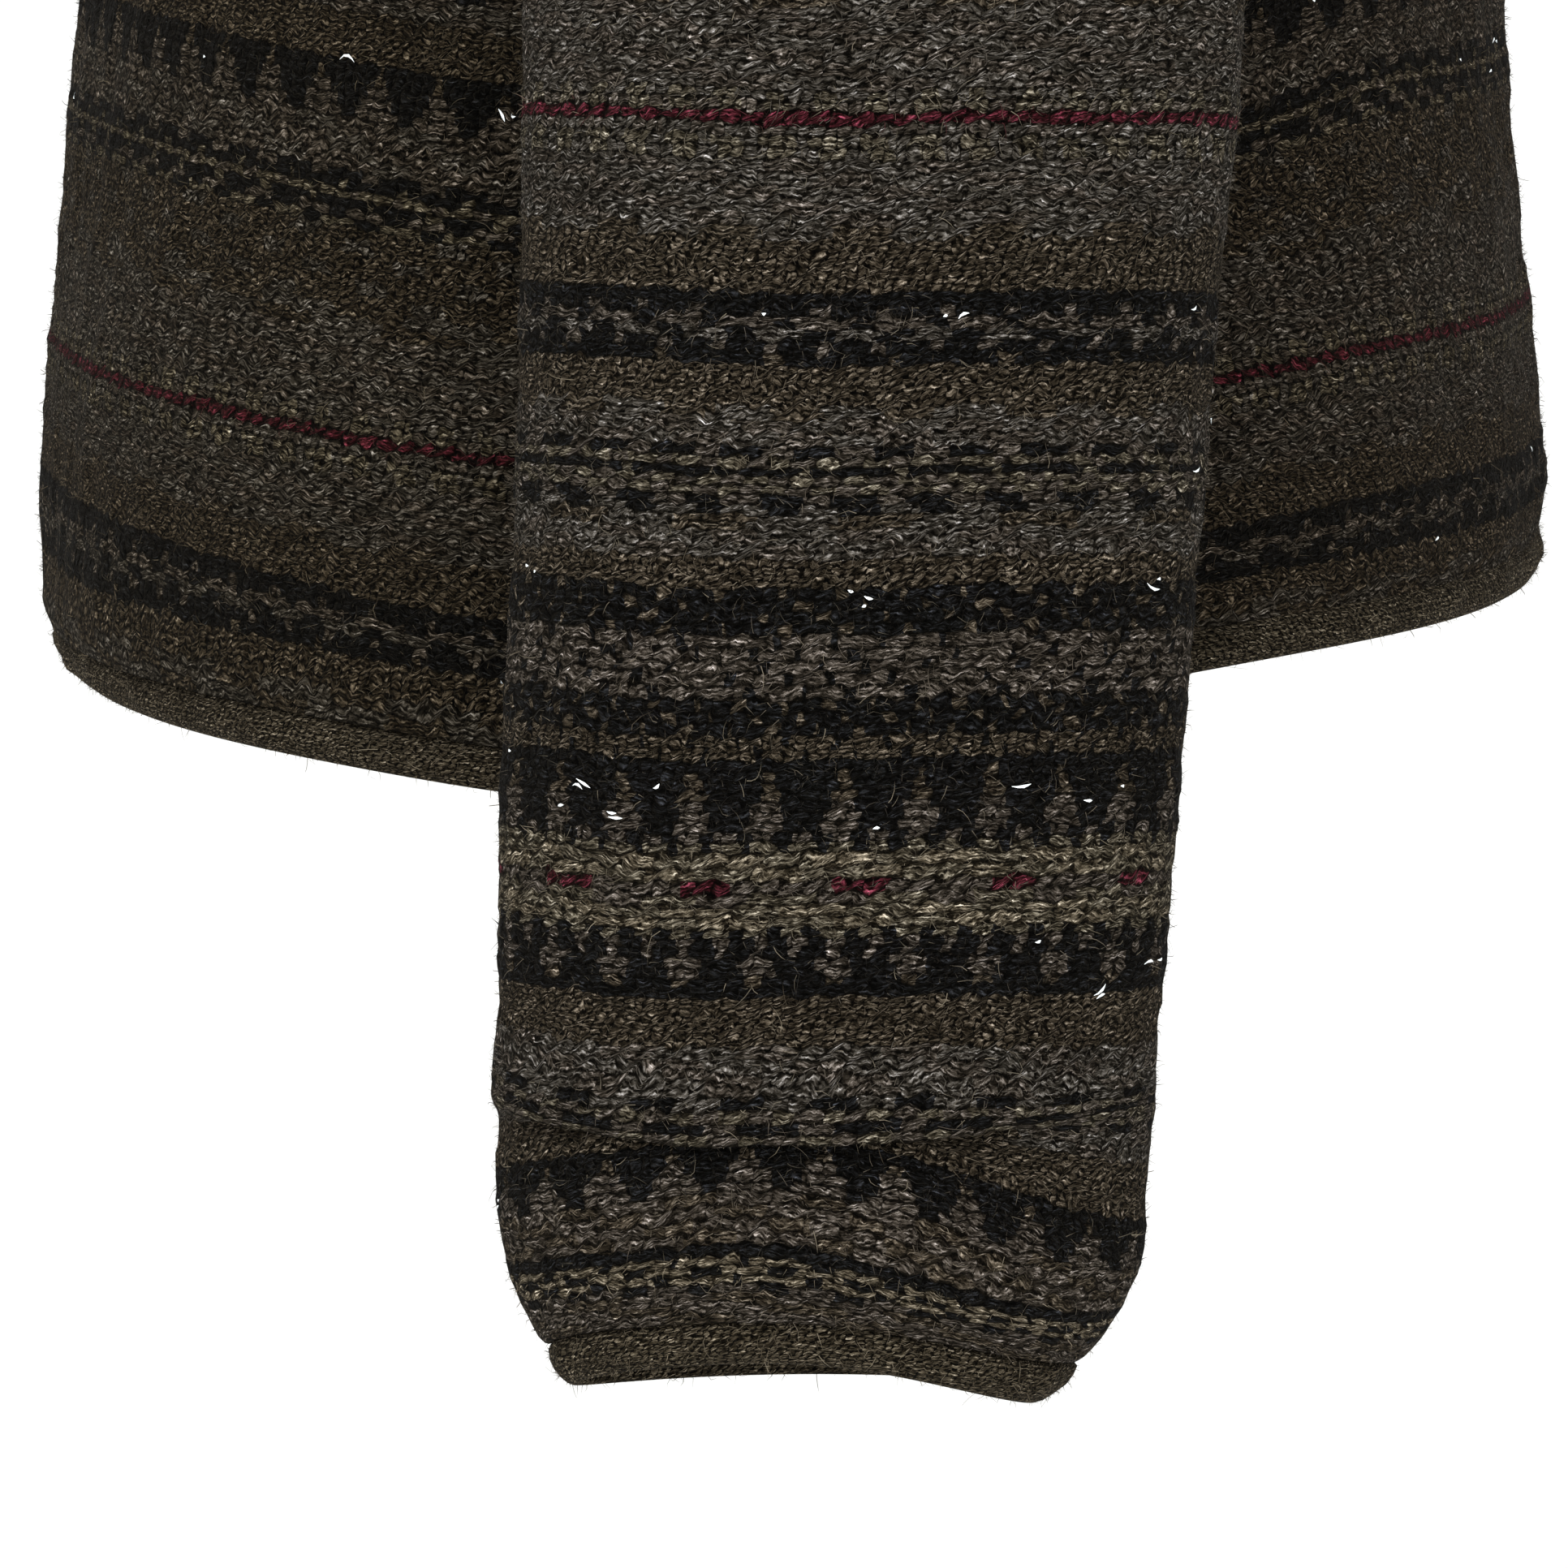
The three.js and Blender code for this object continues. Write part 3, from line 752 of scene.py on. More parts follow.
# %% Weave the knit material
def knit_material(name):
    material, tree = new_material(name)
    node = functools.partial(add_node, tree)

    def off_middle(value, reach):
        """Turns a number from 0 to 1 into a shift either way, and reach is from end to end."""
        from_half = node("Math", [value, 0.5], operation="SUBTRACT")
        return node("Math", [from_half, reach], operation="MULTIPLY")

    across, row = node("SeparateXYZ", [node("UVMap", uv_map="stitches")], out=(0, 1))
    ground = node("Attribute", attribute_name="ground_yarn")
    second = node("Attribute", attribute_name="second_yarn")
    stitch = node("Attribute", out=1, attribute_name="stitch")
    width, courses, tilt = node("SeparateXYZ", [stitch], out=(0, 1, 2))
    repeat = node("Attribute", out=1, attribute_name="repeat")
    length, share, shift = node("SeparateXYZ", [repeat], out=(0, 1, 2))
    risen = node("Math", [row, ROW_HEIGHT], operation="MULTIPLY")
    flat = node("CombineXYZ", [across, risen, 0.0])
    # Nothing in knitting is quite straight: soft noise pushes the stitches about, and finer noise
    # makes their outlines woolly.
    swayed_across, swayed_row = across, row
    for push in (SWAY, RAGGED):
        noise = {"Vector": flat, "Scale": push["scale"], "Detail": push["detail"]}
        aside, upwards = node("SeparateXYZ", [node("TexNoise", noise, out=1)], out=(0, 1))
        aside = off_middle(aside, push["across"])
        upwards = off_middle(upwards, push["row"])
        swayed_across = node("Math", [swayed_across, aside], operation="ADD")
        swayed_row = node("Math", [swayed_row, upwards], operation="ADD")
    # The brick pattern: every course starts about half a stitch further along.
    course = node("Math", [swayed_row, courses], operation="MULTIPLY")
    course_number = node("Math", [course], operation="FLOOR")
    loose = node("TexWhiteNoise", {"W": course_number}, noise_dimensions="1D")
    half_step = node("Math", [course_number, 0.5], operation="MULTIPLY")
    half_step = node("Math", [half_step, off_middle(loose, LOOSE_COURSE)], operation="ADD")
    cell = node("Math", [swayed_across, width], operation="DIVIDE")
    cell = node("Math", [cell, half_step], operation="ADD")
    cell_number = node("Math", [cell], operation="FLOOR")
    own = node("CombineXYZ", [cell_number, course_number, 0.0])
    own_number, own_colour = node("TexWhiteNoise", {"Vector": own}, (0, 1), noise_dimensions="2D")
    own_turn = node("SeparateXYZ", [own_colour])
    # Each stitch is a slanted bulge, and the gap round it is darkened later as painted shade.
    from_middle = node("Math", [node("Math", [cell], operation="FRACT"), 0.5], operation="SUBTRACT")
    up = node("Math", [node("Math", [course], operation="FRACT"), 0.5], operation="SUBTRACT")
    own_tilt = node("Math", [tilt, off_middle(own_turn, OWN_TILT)], operation="ADD")
    tilted = node("Math", [from_middle, own_tilt], operation="MULTIPLY")
    up = node("Math", [up, tilted], operation="SUBTRACT")
    ends = node("Math", [from_middle], operation="ABSOLUTE")
    ends = node("Math", [ends, 2.0], operation="MULTIPLY")
    ends = node("Math", [ends, STITCH_ENDS["sharpness"]], operation="POWER")
    ends = node("Math", [ends, STITCH_ENDS["share"]], operation="MULTIPLY")
    sides = node("Math", [up], operation="ABSOLUTE")
    sides = node("Math", [sides, STITCH_SIDES["width"]], operation="MULTIPLY")
    sides = node("Math", [sides, STITCH_SIDES["sharpness"]], operation="POWER")
    hollow = node("Math", [ends, sides], operation="ADD")
    bulge = node("Math", [1.0, hollow], operation="SUBTRACT", use_clamp=True)
    # Fibres run on along the yarn, and slant within each stitch by its own amount.
    leaning = node("Math", [tilt, FIBRE["tilt_share"]], operation="MULTIPLY")
    slant = node("Math", [off_middle(own_turn, FIBRE["own_slant"]), leaning], operation="ADD")
    from_end = node("Math", [from_middle, width], operation="MULTIPLY")
    lift = node("Math", [from_end, slant], operation="MULTIPLY")
    combed = node("Math", [swayed_row, ROW_HEIGHT], operation="MULTIPLY")
    combed = node("Math", [combed, lift], operation="SUBTRACT")
    combed = node("CombineXYZ", [across, combed, 0.0])
    laid = node("VectorMath", {0: combed, 1: FIBRE["stretch"]}, operation="MULTIPLY")
    own_layer = node("CombineXYZ", [0.0, 0.0, own_number])
    laid = node("VectorMath", {0: laid, 1: own_layer}, operation="ADD")
    fibres = node("TexNoise", {"Vector": laid, **FIBRE_NOISE})
    pitted = node("VectorMath", {0: combed, 1: PIT_STRETCH}, operation="MULTIPLY")
    pits = node("TexNoise", {"Vector": pitted, **PIT_NOISE})
    # Loose hairs on top are the thin contour lines of a curly noise, broken by another one. They
    # are painted pale as a highlight.
    noise = {"Vector": flat, "Scale": HAIR["scale"], "Detail": 1.0}
    curls = node("TexNoise", noise, noise_dimensions="2D")
    from_line = node("Math", [curls, 0.5], operation="SUBTRACT")
    from_line = node("Math", [from_line], operation="ABSOLUTE")
    near_line = node("MapRange", [from_line, 0.0, HAIR["half_width"], 1.0, 0.0])
    patches = node("TexNoise", {"Vector": flat, "Scale": HAIR["patch_scale"], "Detail": 2.0})
    shown = node("MapRange", [patches, *HAIR["shown"], 0.0, 1.0])
    hair = node("Math", [near_line, shown], operation="MULTIPLY")
    # The second colour fills its share of each repeat, mostly by whole stitches.
    at_stitch = node("Math", [cell_number, 0.5], operation="ADD")
    at_stitch = node("Math", [at_stitch, half_step], operation="SUBTRACT")
    at_stitch = node("Math", [at_stitch, width], operation="MULTIPLY")
    place = node("Mix", {0: ROUND_STITCH, 2: swayed_across, 3: at_stitch})
    where = node("Math", [place, length], operation="DIVIDE")
    where = node("Math", [where, shift], operation="ADD")
    where = node("Math", [where], operation="FRACT")
    edge = node("Math", [where, 0.5], operation="SUBTRACT")
    edge = node("Math", [edge], operation="ABSOLUTE")
    edge = node("Math", [edge, 2.0], operation="MULTIPLY")
    two_yarns = node("Math", [share, 0.01], operation="GREATER_THAN")
    uneven = node("Math", [off_middle(own_turn, UNEVEN_REPEAT), two_yarns], operation="MULTIPLY")
    reach = node("Math", [share, uneven], operation="ADD")
    filled = node("Math", [edge, reach], operation="LESS_THAN")
    yarn = node("Mix", {0: filled, 6: ground, 7: second}, out=2, data_type="RGBA")
    # Tones: stitch by stitch, fibre by fibre with painted highlights and shade, in soft patches,
    # and painted shade down in the gaps and pits.
    stitch_tone = node("MapRange", [own_number, *STITCH_TONE])
    fibre_tone_and_highlight = node("Math", [off_middle(fibres, FIBRE["contrast"])], operation="EXPONENT")
    pit_painted_shade = node("MapRange", [pits, *PIT_PAINTED_SHADE], interpolation_type="SMOOTHSTEP")
    patches = node("TexNoise", {"Vector": flat, **PATCH_NOISE})
    patch_tone = node("MapRange", [patches, *PATCH_TONE])
    # The painted shade in the gaps is darkest between narrow stitches.
    darkest = node("Math", [width, GAP_PAINTED_SHADE["dark_per_width"]], operation="MULTIPLY")
    gaps = [bulge, 0.0, GAP_PAINTED_SHADE["full_at"], darkest, GAP_PAINTED_SHADE["light"]]
    gap_painted_shade = node("MapRange", gaps, interpolation_type="SMOOTHSTEP")
    fine_tone = node("Math", [stitch_tone, fibre_tone_and_highlight], operation="MULTIPLY")
    broad_tone = node("Math", [gap_painted_shade, patch_tone], operation="MULTIPLY")
    painted_light_and_tone = node("Math", [fine_tone, broad_tone], operation="MULTIPLY")
    painted_light_and_tone = node("Math", [painted_light_and_tone, pit_painted_shade], operation="MULTIPLY")
    # The painted shade is made warmer and the painted highlights greyer than the yarn itself.
    green = node("Math", [painted_light_and_tone, GREEN_POWER], operation="POWER")
    blue = node("Math", [painted_light_and_tone, BLUE_POWER], operation="POWER")
    toned = node("CombineXYZ", [painted_light_and_tone, green, blue])
    shaded = node("VectorMath", {0: yarn, 1: toned}, operation="MULTIPLY")
    # The hair lines are painted pale as a highlight.
    pale_highlight = node("VectorMath", {0: yarn, 1: linear("#3a352e")}, operation="ADD")
    hair_share = node("Math", [hair, HAIR["share"]], operation="MULTIPLY")
    colour = node("Mix", {0: hair_share, 6: shaded, 7: pale_highlight}, out=2, data_type="RGBA")
    relief = node("Math", [bulge], operation="SQRT")
    relief = node("Math", [relief, node("Math", [courses], operation="SQRT")], operation="DIVIDE")
    for part, amount in ((fibres, FIBRE_RELIEF), (hair, HAIR_RELIEF)):
        raised = node("Math", [part, amount], operation="MULTIPLY")
        relief = node("Math", [relief, raised], operation="ADD")
    bump = node("Bump", {"Height": relief, "Strength": 0.9, "Distance": GAP_DEPTH})
    wool = node("BsdfPrincipled", {
        "Base Color": colour, "Roughness": 0.95, "Normal": bump, "Specular IOR Level": 0.03,
        "Sheen Weight": 0.035, "Sheen Roughness": 0.5, "Sheen Tint": (*linear("#b3a894"), 1),
    })
    node("OutputMaterial", {"Surface": wool})
    return material


patterned = knit_material("Brushed fair isle wool knit")
plain = knit_material("Fine plain wool knit")
print("knit materials:", patterned.name, "and", plain.name)

# %% [markdown]
# ## From rows of points to cloth
# A knitted panel is a grid: a row of faces for each charted row and a column every few stitches.
# The outside keeps every row. The inside needs no detail, so it has a quarter of the rows and
# columns, and many-sided faces along the rims close the cloth between them. Rows that would pass
# the neck or shoulder stop there.

# %% Make a closed sheet of cloth
INSIDE_STEP = 4
THICKNESS = 2.4


def coarse(last):
    return sorted({*range(0, last, INSIDE_STEP), last})


def row_facts(rows, painted_light_and_tone=(1, 1, 1)):
    """The attributes that one face in each row carries. On the body panels the yarns carry painted
    shade.
    """
    stitches = [STITCHES[row[0]] for row in rows]
    return {
        "ground_yarn": np.array([[*linear(YARN[row[1]]), 1] for row in rows]) * (*painted_light_and_tone, 1),
        "second_yarn": np.array([[*linear(YARN[row[2]]), 1] for row in rows]) * (*painted_light_and_tone, 1),
        "stitch": np.array([[s["width"], s["courses"], s["tilt"]] for s in stitches]),
        "repeat": np.array([[row[4], row[3], row[5]] for row in rows]),
    }


def put_map(mesh, maps):
    layer = mesh.uv_layers.new(name="stitches")
    layer.data.foreach_set("uv", np.array(maps, np.float32).ravel())


def put_facts(mesh, facts, face_rows):
    for name, values in facts.items():
        coloured = values.shape[1] == 4
        kind, field = ("FLOAT_COLOR", "color") if coloured else ("FLOAT_VECTOR", "vector")
        layer = mesh.attributes.new(name, kind, "FACE")
        layer.data.foreach_set(field, values[face_rows].astype(np.float32).ravel())


PUFF = {
    "fine": -0.25, "long": 0.1, "float": 0.15, "small": 0.35,
    "motif": 0.35, "wide": 0.35, "rope": 0.5, "rib": 0,
}


def row_puff(rows):
    """Rows knitted with two yarns are thicker than plain ones, so they stand out a little."""
    own = np.array([PUFF[row[0]] for row in rows])
    own = np.append(own, own[-1])
    padded = np.pad(own, 2, "edge")
    blurred = padded[:-4] + 2 * padded[1:-3] + 3 * padded[2:-2] + 2 * padded[3:-1] + padded[4:]
    return blurred[:, None] / 9


def cloth_piece(name, outer, inner, across, rows_up, facts, ringed, stop=None, mirror=False):
    """outer and inner are grids of points in millimetres. across and rows_up are the map, on the
    same grid with one more column on a ring. stop is each column's last row of its own."""
    row_count, column_count = outer.shape[:2]
    last_column = column_count if ringed else column_count - 1
    stop = np.full(column_count, row_count - 1) if stop is None else stop
    inside_rows, inside_columns = coarse(row_count - 1), coarse(last_column)
    faces, maps, face_rows = [], [], []

    def outside(row, column):
        return (0, min(row, stop[column % column_count]), column)

    def inside(row, column):
        limit = next(r for r in inside_rows if r >= stop[column % column_count])
        return (1, min(row, limit), column)

    def add_face(corners, row):
        kept = [corner for place, corner in enumerate(corners) if corner != corners[place - 1]]
        if len(kept) > 2:
            faces.append(kept)
            face_rows.append(min(row, row_count - 2))

    for row in range(row_count - 1):
        for column in range(last_column):
            add_face([outside(row, column), outside(row, column + 1),
                      outside(row + 1, column + 1), outside(row + 1, column)], row)
    for low, high in zip(inside_rows, inside_rows[1:]):
        for left, right in zip(inside_columns, inside_columns[1:]):
            add_face([
                inside(low, right), inside(low, left), inside(high, left), inside(high, right),
            ], low)
    for left, right in zip(inside_columns, inside_columns[1:]):
        span = range(left, right + 1)
        bottom = [outside(0, column) for column in reversed(span)]
        add_face([*bottom, inside(0, left), inside(0, right)], 0)
        top = [outside(row_count - 1, column) for column in span]
        add_face([*top, inside(row_count - 1, right), inside(row_count - 1, left)], row_count)
    if not ringed:
        for column, turned in ((0, False), (last_column, True)):
            for low, high in zip(inside_rows, inside_rows[1:]):
                edge = [outside(row, column) for row in range(low, high + 1)]
                face = [*edge, inside(high, column), inside(low, column)]
                add_face(face[::-1] if turned else face, low)

    keys = {}
    points = []
    for face in faces:
        for place, (layer, row, column) in enumerate(face):
            key = (layer, row, column % column_count)
            if key not in keys:
                keys[key] = len(points)
                points.append((outer if layer == 0 else inner)[row, column % column_count])
            maps.append((across[row, column], rows_up[row, column]))
            face[place] = keys[key]
    piece = new_piece(name, points, faces, patterned, mirror)
    put_map(piece.data, maps)
    put_facts(piece.data, facts, np.array(face_rows))
    if mirror:
        piece.data.flip_normals()
    return piece


def report(piece):
    mesh = piece.data
    triangles = sum(len(face.vertices) - 2 for face in mesh.polygons)
    area = sum(face.area for face in mesh.polygons)
    print(piece.name, "has", triangles, "triangles and", round(area, 4), "m2 on both sides")


# %% [markdown]
# ## Front and back
# The stripes on the body aren't quite level. They follow the cloth, which hangs lower beside the
# arms than in the middle of the front, and the hem rolls under a little. A short table gives the
# height of a row above the hem in the middle of the front, beside the arm and on the seam.

# %% Knit the front and the back
DRAPE = table(
    ("row", "front", "front_side", "seam", "back_side", "back"),
    (0, 0, 0, 0, 0, 0),
    (8, 9, 8.4, 9, 7.8, 7.3),
    (18, 23.2, 20.1, 19, 15.8, 16),
    (31, 39.3, 31.5, 29.4, 25.6, 27.3),
    (61, 64.8, 59.8, 57, 52.4, 54.1),
    (106, 112.6, 105.8, 102.4, 98.4, 104.6),
    (124, 133.1, 126.8, 122.5, 118.5, 122.6),
    (250, 260.4, 252, 248, 244.2, 248.2),
    (400, 411, 402, 398, 394, 398.2),
    (640, 652, 643, 639, 635, 639.2),
)
# In degrees from the middle: the rise from beside the arm to the middle is long on the front and
# short on the back, and close to the seam every row bends to the seam's own height.
RISE_TURNS = {"front": (18, 70), "back": (40, 62)}
SEAM_TURNS = (74, 90)
# Painted shade: the body panels' yarns are darker than the same yarns on the sleeves.
BODY_PAINTED_SHADE = {"front": (0.66, 0.63, 0.56), "back": (0.68, 0.64, 0.58)}
BODY_COLUMN = 2.2
ROW_JITTER = {"uneven": 0.15, "most": 0.26, "zigzag": 0.14}
KNOTS = 0.12
MIDDLE_LEVEL = -450
FINE_STEPS = 4001
SEAM_GROOVE = {"depth": 1.2, "reach": 2.6}
BAND_GROOVE = {"front": 1.3, "back": 1.6, "cuff": 0.7, "reach": 2.2}
# How far from an edge the creases and the bumps begin and are whole.
CREASES_FROM = {"top": (0, 20), "seam": (2, 26), "band": (0, 12)}
BUMPS_FROM = {"top": (1, 6), "seam": (0, 8)}


def even_angles(count):
    """Angles across a panel that are equally far apart on the cloth."""
    fine = np.linspace(-math.pi / 2, math.pi / 2, FINE_STEPS)
    points = body_point(-1, fine, MIDDLE_LEVEL + 0 * fine)
    run = np.concatenate([[0], np.cumsum(np.linalg.norm(np.diff(points, axis=0), axis=1))])
    even = np.linspace(0, run[-1], count)
    return np.interp(even, run, fine), even - run[-1] / 2, run[-1]


def row_height(side, angle, row):
    name = side_name(side)
    columns = (name, name + "_side", "seam")
    turned = np.degrees(np.abs(angle))
    middle, aside, seam = [from_table(DRAPE, "row", column, row) for column in columns]
    height = middle + (aside - middle) * smooth(*RISE_TURNS[name], turned)
    return height + (seam - height) * smooth(*SEAM_TURNS, turned)


def row_jitter(edges, shape, seed):
    """Knitting never has straight rows: neighbouring stitches bulge up and down in turn."""
    row, column = np.indices(shape)
    gaps = np.diff(edges)
    room = np.minimum(np.append(gaps[0], gaps), np.append(gaps, gaps[-1]))[:, None]
    uneven = np.random.default_rng(seed).normal(0, ROW_JITTER["uneven"], shape)
    uneven = np.clip(uneven, -ROW_JITTER["most"], ROW_JITTER["most"])
    zigzag = ROW_JITTER["zigzag"] * np.where((row + column) % 2, 1, -1)
    return np.where((row > 0) & (row < shape[0] - 1), room * (uneven + zigzag), 0)


def knots(shape, seed):
    """Stitches bulge out by different amounts, so the cloth and its outline are a little lumpy."""
    lumps = np.random.default_rng(seed).normal(0, KNOTS, shape)
    return lumps + 0.5 * np.roll(lumps, 1, axis=1)


def knit_body(name, side):
    width = even_angles(3)[2]
    angles, across, _ = even_angles(int(width / BODY_COLUMN) | 1)
    tops = top_level(side, share_across(angles) * SHOULDER_TIP_X)
    bottoms = hem_level(side, angles)
    angle, edge = np.meshgrid(angles, body_edges)
    level = bottoms + row_height(side, angle, edge)
    level = level + row_jitter(body_edges, level.shape, 31 + side)
    level = np.minimum(level, tops)
    stop = np.argmax(level >= tops, axis=0)
    used = int(stop.max()) + 1
    angle, level = angle[:used], level[:used]
    rows_up = np.broadcast_to(np.arange(used)[:, None], level.shape).astype(float)
    points = body_point(side, angle, level)
    normals = body_normal(side, angle, level, tops)
    creased = body_creases(side, points)
    run = np.abs(np.abs(across) - width / 2)
    below_top, above_band = tops - level, level - bottoms - BODY_START
    groove = mound(run, SEAM_GROOVE["reach"]) + mound(below_top, SEAM_GROOVE["reach"])
    creased = creased * smooth(*CREASES_FROM["top"], below_top) * smooth(*CREASES_FROM["seam"], run)
    creased = creased * smooth(*CREASES_FROM["band"], above_band)
    creased = creased - SEAM_GROOVE["depth"] * np.minimum(groove, 1)
    bumps = row_puff(body_rows)[:used] + knots(level.shape, 51 + side)
    bumps = bumps * smooth(*BUMPS_FROM["top"], below_top) * smooth(*BUMPS_FROM["seam"], run)
    creased = creased + bumps
    creased = creased - BAND_GROOVE[side_name(side)] * mound(above_band, BAND_GROOVE["reach"])
    points = points + normals * creased[..., None]
    inner = points - normals * THICKNESS
    for grid in (points, inner):
        grid[..., 1] = side * np.maximum(side * grid[..., 1], 0)
    # This panel's yarns take the body's painted shade.
    painted_light_and_tone = BODY_PAINTED_SHADE[side_name(side)]
    facts = row_facts(body_rows[:used], painted_light_and_tone)
    grid_across = np.broadcast_to(across, level.shape)
    piece = cloth_piece(name, points, inner, grid_across, rows_up, facts, False, stop)
    return piece, {"points": points, "normals": normals, "rows": body_rows, "painted_light_and_tone": painted_light_and_tone}


front, front_form = knit_body("front_panel", -1)
back, back_form = knit_body("back_panel", 1)
report(front)
report(back)

# %% [markdown]
# ## Sleeves
# A sleeve is knitted flat and sewn into a tube along the inside of the arm, so its map starts and
# ends there. Its rows get closer on the inside of the underarm, where the real cloth bunches.

# %% Knit the sleeves
SLEEVE_COLUMNS = 136
# Between which lengths along the sleeve the creases and the bumps come and go.
SLEEVE_CREASED = {"from": (70, 120), "to": (560, 630)}
SLEEVE_BUMPY = {"from": (6, 12), "to": (610, 635)}


def between(stretch, along):
    """How much of a stretch of the sleeve has started, and how much of it is left."""
    return smooth(*stretch["from"], along), 1 - smooth(*stretch["to"], along)


def knit_sleeve(name, mirror):
    turns = np.linspace(-math.pi, math.pi, SLEEVE_COLUMNS + 1)
    around, along = np.meshgrid(turns, sleeve_edges)
    jitter = row_jitter(sleeve_edges, along.shape, 41)
    jitter[:, -1] = jitter[:, 0]
    lumps = knots(along.shape, 61)
    lumps[:, -1] = lumps[:, 0]
    placed = along + jitter
    points = sleeve_point(around, placed)
    run = np.cumsum(np.linalg.norm(np.diff(points, axis=1), axis=2), axis=1)
    across = np.concatenate([np.zeros((len(sleeve_edges), 1)), run], axis=1)
    across = across - across[:, [SLEEVE_COLUMNS // 2]]
    normals = sleeve_normal(around, placed)
    creased = sleeve_creases(around, placed)
    starting, ending = between(SLEEVE_CREASED, along)
    creased = creased * starting * ending
    starting, ending = between(SLEEVE_BUMPY, along)
    creased = creased + (row_puff(sleeve_rows) + lumps) * starting * ending
    to_seam, to_band = SLEEVE_LENGTH - along, along - SLEEVE_START
    creased = creased - SEAM_GROOVE["depth"] * mound(to_seam, SEAM_GROOVE["reach"])
    creased = creased - BAND_GROOVE["cuff"] * mound(to_band, BAND_GROOVE["reach"])
    points = points + normals * creased[..., None]
    inner = points - normals * THICKNESS
    rows_up = np.broadcast_to(np.arange(len(sleeve_edges))[:, None], across.shape).astype(float)
    facts = row_facts(sleeve_rows)
    open_ring = points[:, :-1], inner[:, :-1]
    piece = cloth_piece(name, *open_ring, across, rows_up, facts, True, mirror=mirror)
    return piece, {"points": points, "normals": normals, "rows": sleeve_rows, "painted_light_and_tone": (1, 1, 1)}


sleeve_left, sleeve_form = knit_sleeve("left_sleeve", False)
sleeve_right, _ = knit_sleeve("right_sleeve", True)
report(sleeve_left)

# %% [markdown]
# ## Bands
# The hem, cuffs and neck end in narrow tubular bands of fine plain knitting. Each is a soft rounded
# tube: a closed section carried along the edge, with a groove where it was linked to the cloth.
# Small upright stitches run up the section, so its map counts courses round the tube.

# %% Shape the band section
BAND_SECTION = table(
    ("height", "inward"),
    # height as a share of the band, and how far in from the cloth's face, once round the tube
    (1.06, 2.4),
    (0.98, 1.7),
    (0.84, 0.8),
    (0.62, 0.4),
    (0.4, 0.5),
    (0.2, 1.1),
    (0.05, 2.0),
    (0.0, 2.8),
    (0.08, 3.5),
    (0.35, 4.1),
    (0.7, 4.0),
    (1.0, 3.2),
)
BAND_COURSE = 1.9
BAND_ROW = ("rib", "umber", "bark", 0.0, 20, 0.0)


MAP_TOP = 40
OUTERMOST = 3
OUTSIDE_ROWS = 8


def make_outward(piece):
    """Turns a closed mesh's faces to point outwards, and tells whether they already did."""
    mesh = piece.data
    volume = 0
    for face in mesh.polygons:
        corners = [mesh.vertices[number].co for number in face.vertices]
        for second, third in zip(corners[1:], corners[2:]):
            volume += corners[0].dot(second.cross(third))
    if volume < 0:
        mesh.flip_normals()
    return -1 if volume < 0 else 1


def band_piece(name, section_points, ringed, mirror=False):
    """section_points is a grid: once round the tube by along the edge."""
    count, length = section_points.shape[:2]
    closed = np.concatenate([section_points, section_points[:1]], axis=0)
    rises = np.cumsum(np.linalg.norm(np.diff(closed, axis=0), axis=2).mean(axis=1))
    courses = np.concatenate([[0], rises]) / BAND_COURSE
    edge = closed[OUTERMOST]
    steps = np.linalg.norm(np.diff(edge, axis=0), axis=1)
    run = np.concatenate([[0], np.cumsum(steps)])
    if ringed:
        run = np.append(run, run[-1] + np.linalg.norm(edge[0] - edge[-1]))
    faces, maps = [], []
    last = length if ringed else length - 1
    for row in range(count):
        for column in range(last):
            corners = [(row, column), (row, column + 1), (row + 1, column + 1), (row + 1, column)]
            faces.append([(r % count) * length + c % length for r, c in corners])
            maps += [(run[c], MAP_TOP - courses[r]) for r, c in corners]
    if not ringed:
        start = [row * length for row in range(count)]
        end = [row * length + length - 1 for row in reversed(range(count))]
        for face in (start, end):
            faces.append(face)
            maps += [(0, 0)] * len(face)
    piece = new_piece(name, section_points.reshape(-1, 3), faces, plain, mirror)
    put_map(piece.data, maps)
    put_facts(piece.data, row_facts([BAND_ROW]), np.zeros(len(faces), int))
    sense = make_outward(piece) * (-1 if mirror else 1)
    outside = section_points[:OUTSIDE_ROWS]
    normals = unit(np.cross(np.gradient(outside, axis=1), np.gradient(outside, axis=0)) * sense)
    rows = [BAND_ROW] * OUTSIDE_ROWS
    return piece, {"points": outside, "normals": normals, "rows": rows, "painted_light_and_tone": (1, 1, 1)}


# %% Knit the hem bands
HEM_BAND = {"height": 7.8, "columns": 171}
# A lump of a band has a height, a length and a phase.
HEM_LUMPS = ((0.35, 5.1, 0), (0.25, 2.3, 1))


def hem_band(name, side):
    angles, across, _ = even_angles(HEM_BAND["columns"])
    lumps = sum(tall * np.sin(across / length + phase) for tall, length, phase in HEM_LUMPS)
    sections = []
    for row in BAND_SECTION:
        level = hem_level(side, angles) + row["height"] * HEM_BAND["height"]
        points = body_point(side, angles, level)
        normals = body_normal(side, angles, level, 0)
        points = points - normals * (row["inward"] - lumps * (row["inward"] < 1))[:, None]
        points[:, 1] = side * np.maximum(side * points[:, 1], 0)
        sections.append(points)
    return band_piece(name, np.array(sections), False)


hem_front, hem_front_form = hem_band("front_hem_band", -1)
hem_back, hem_back_form = hem_band("back_hem_band", 1)
report(hem_front)

# %% Knit the cuff bands
CUFF_BAND = {"height": 7.4, "columns": 96}
# A lump here has a height, how many go round the cuff, and a phase.
CUFF_LUMPS = ((0.3, 13, 0), (0.2, 29, 1))


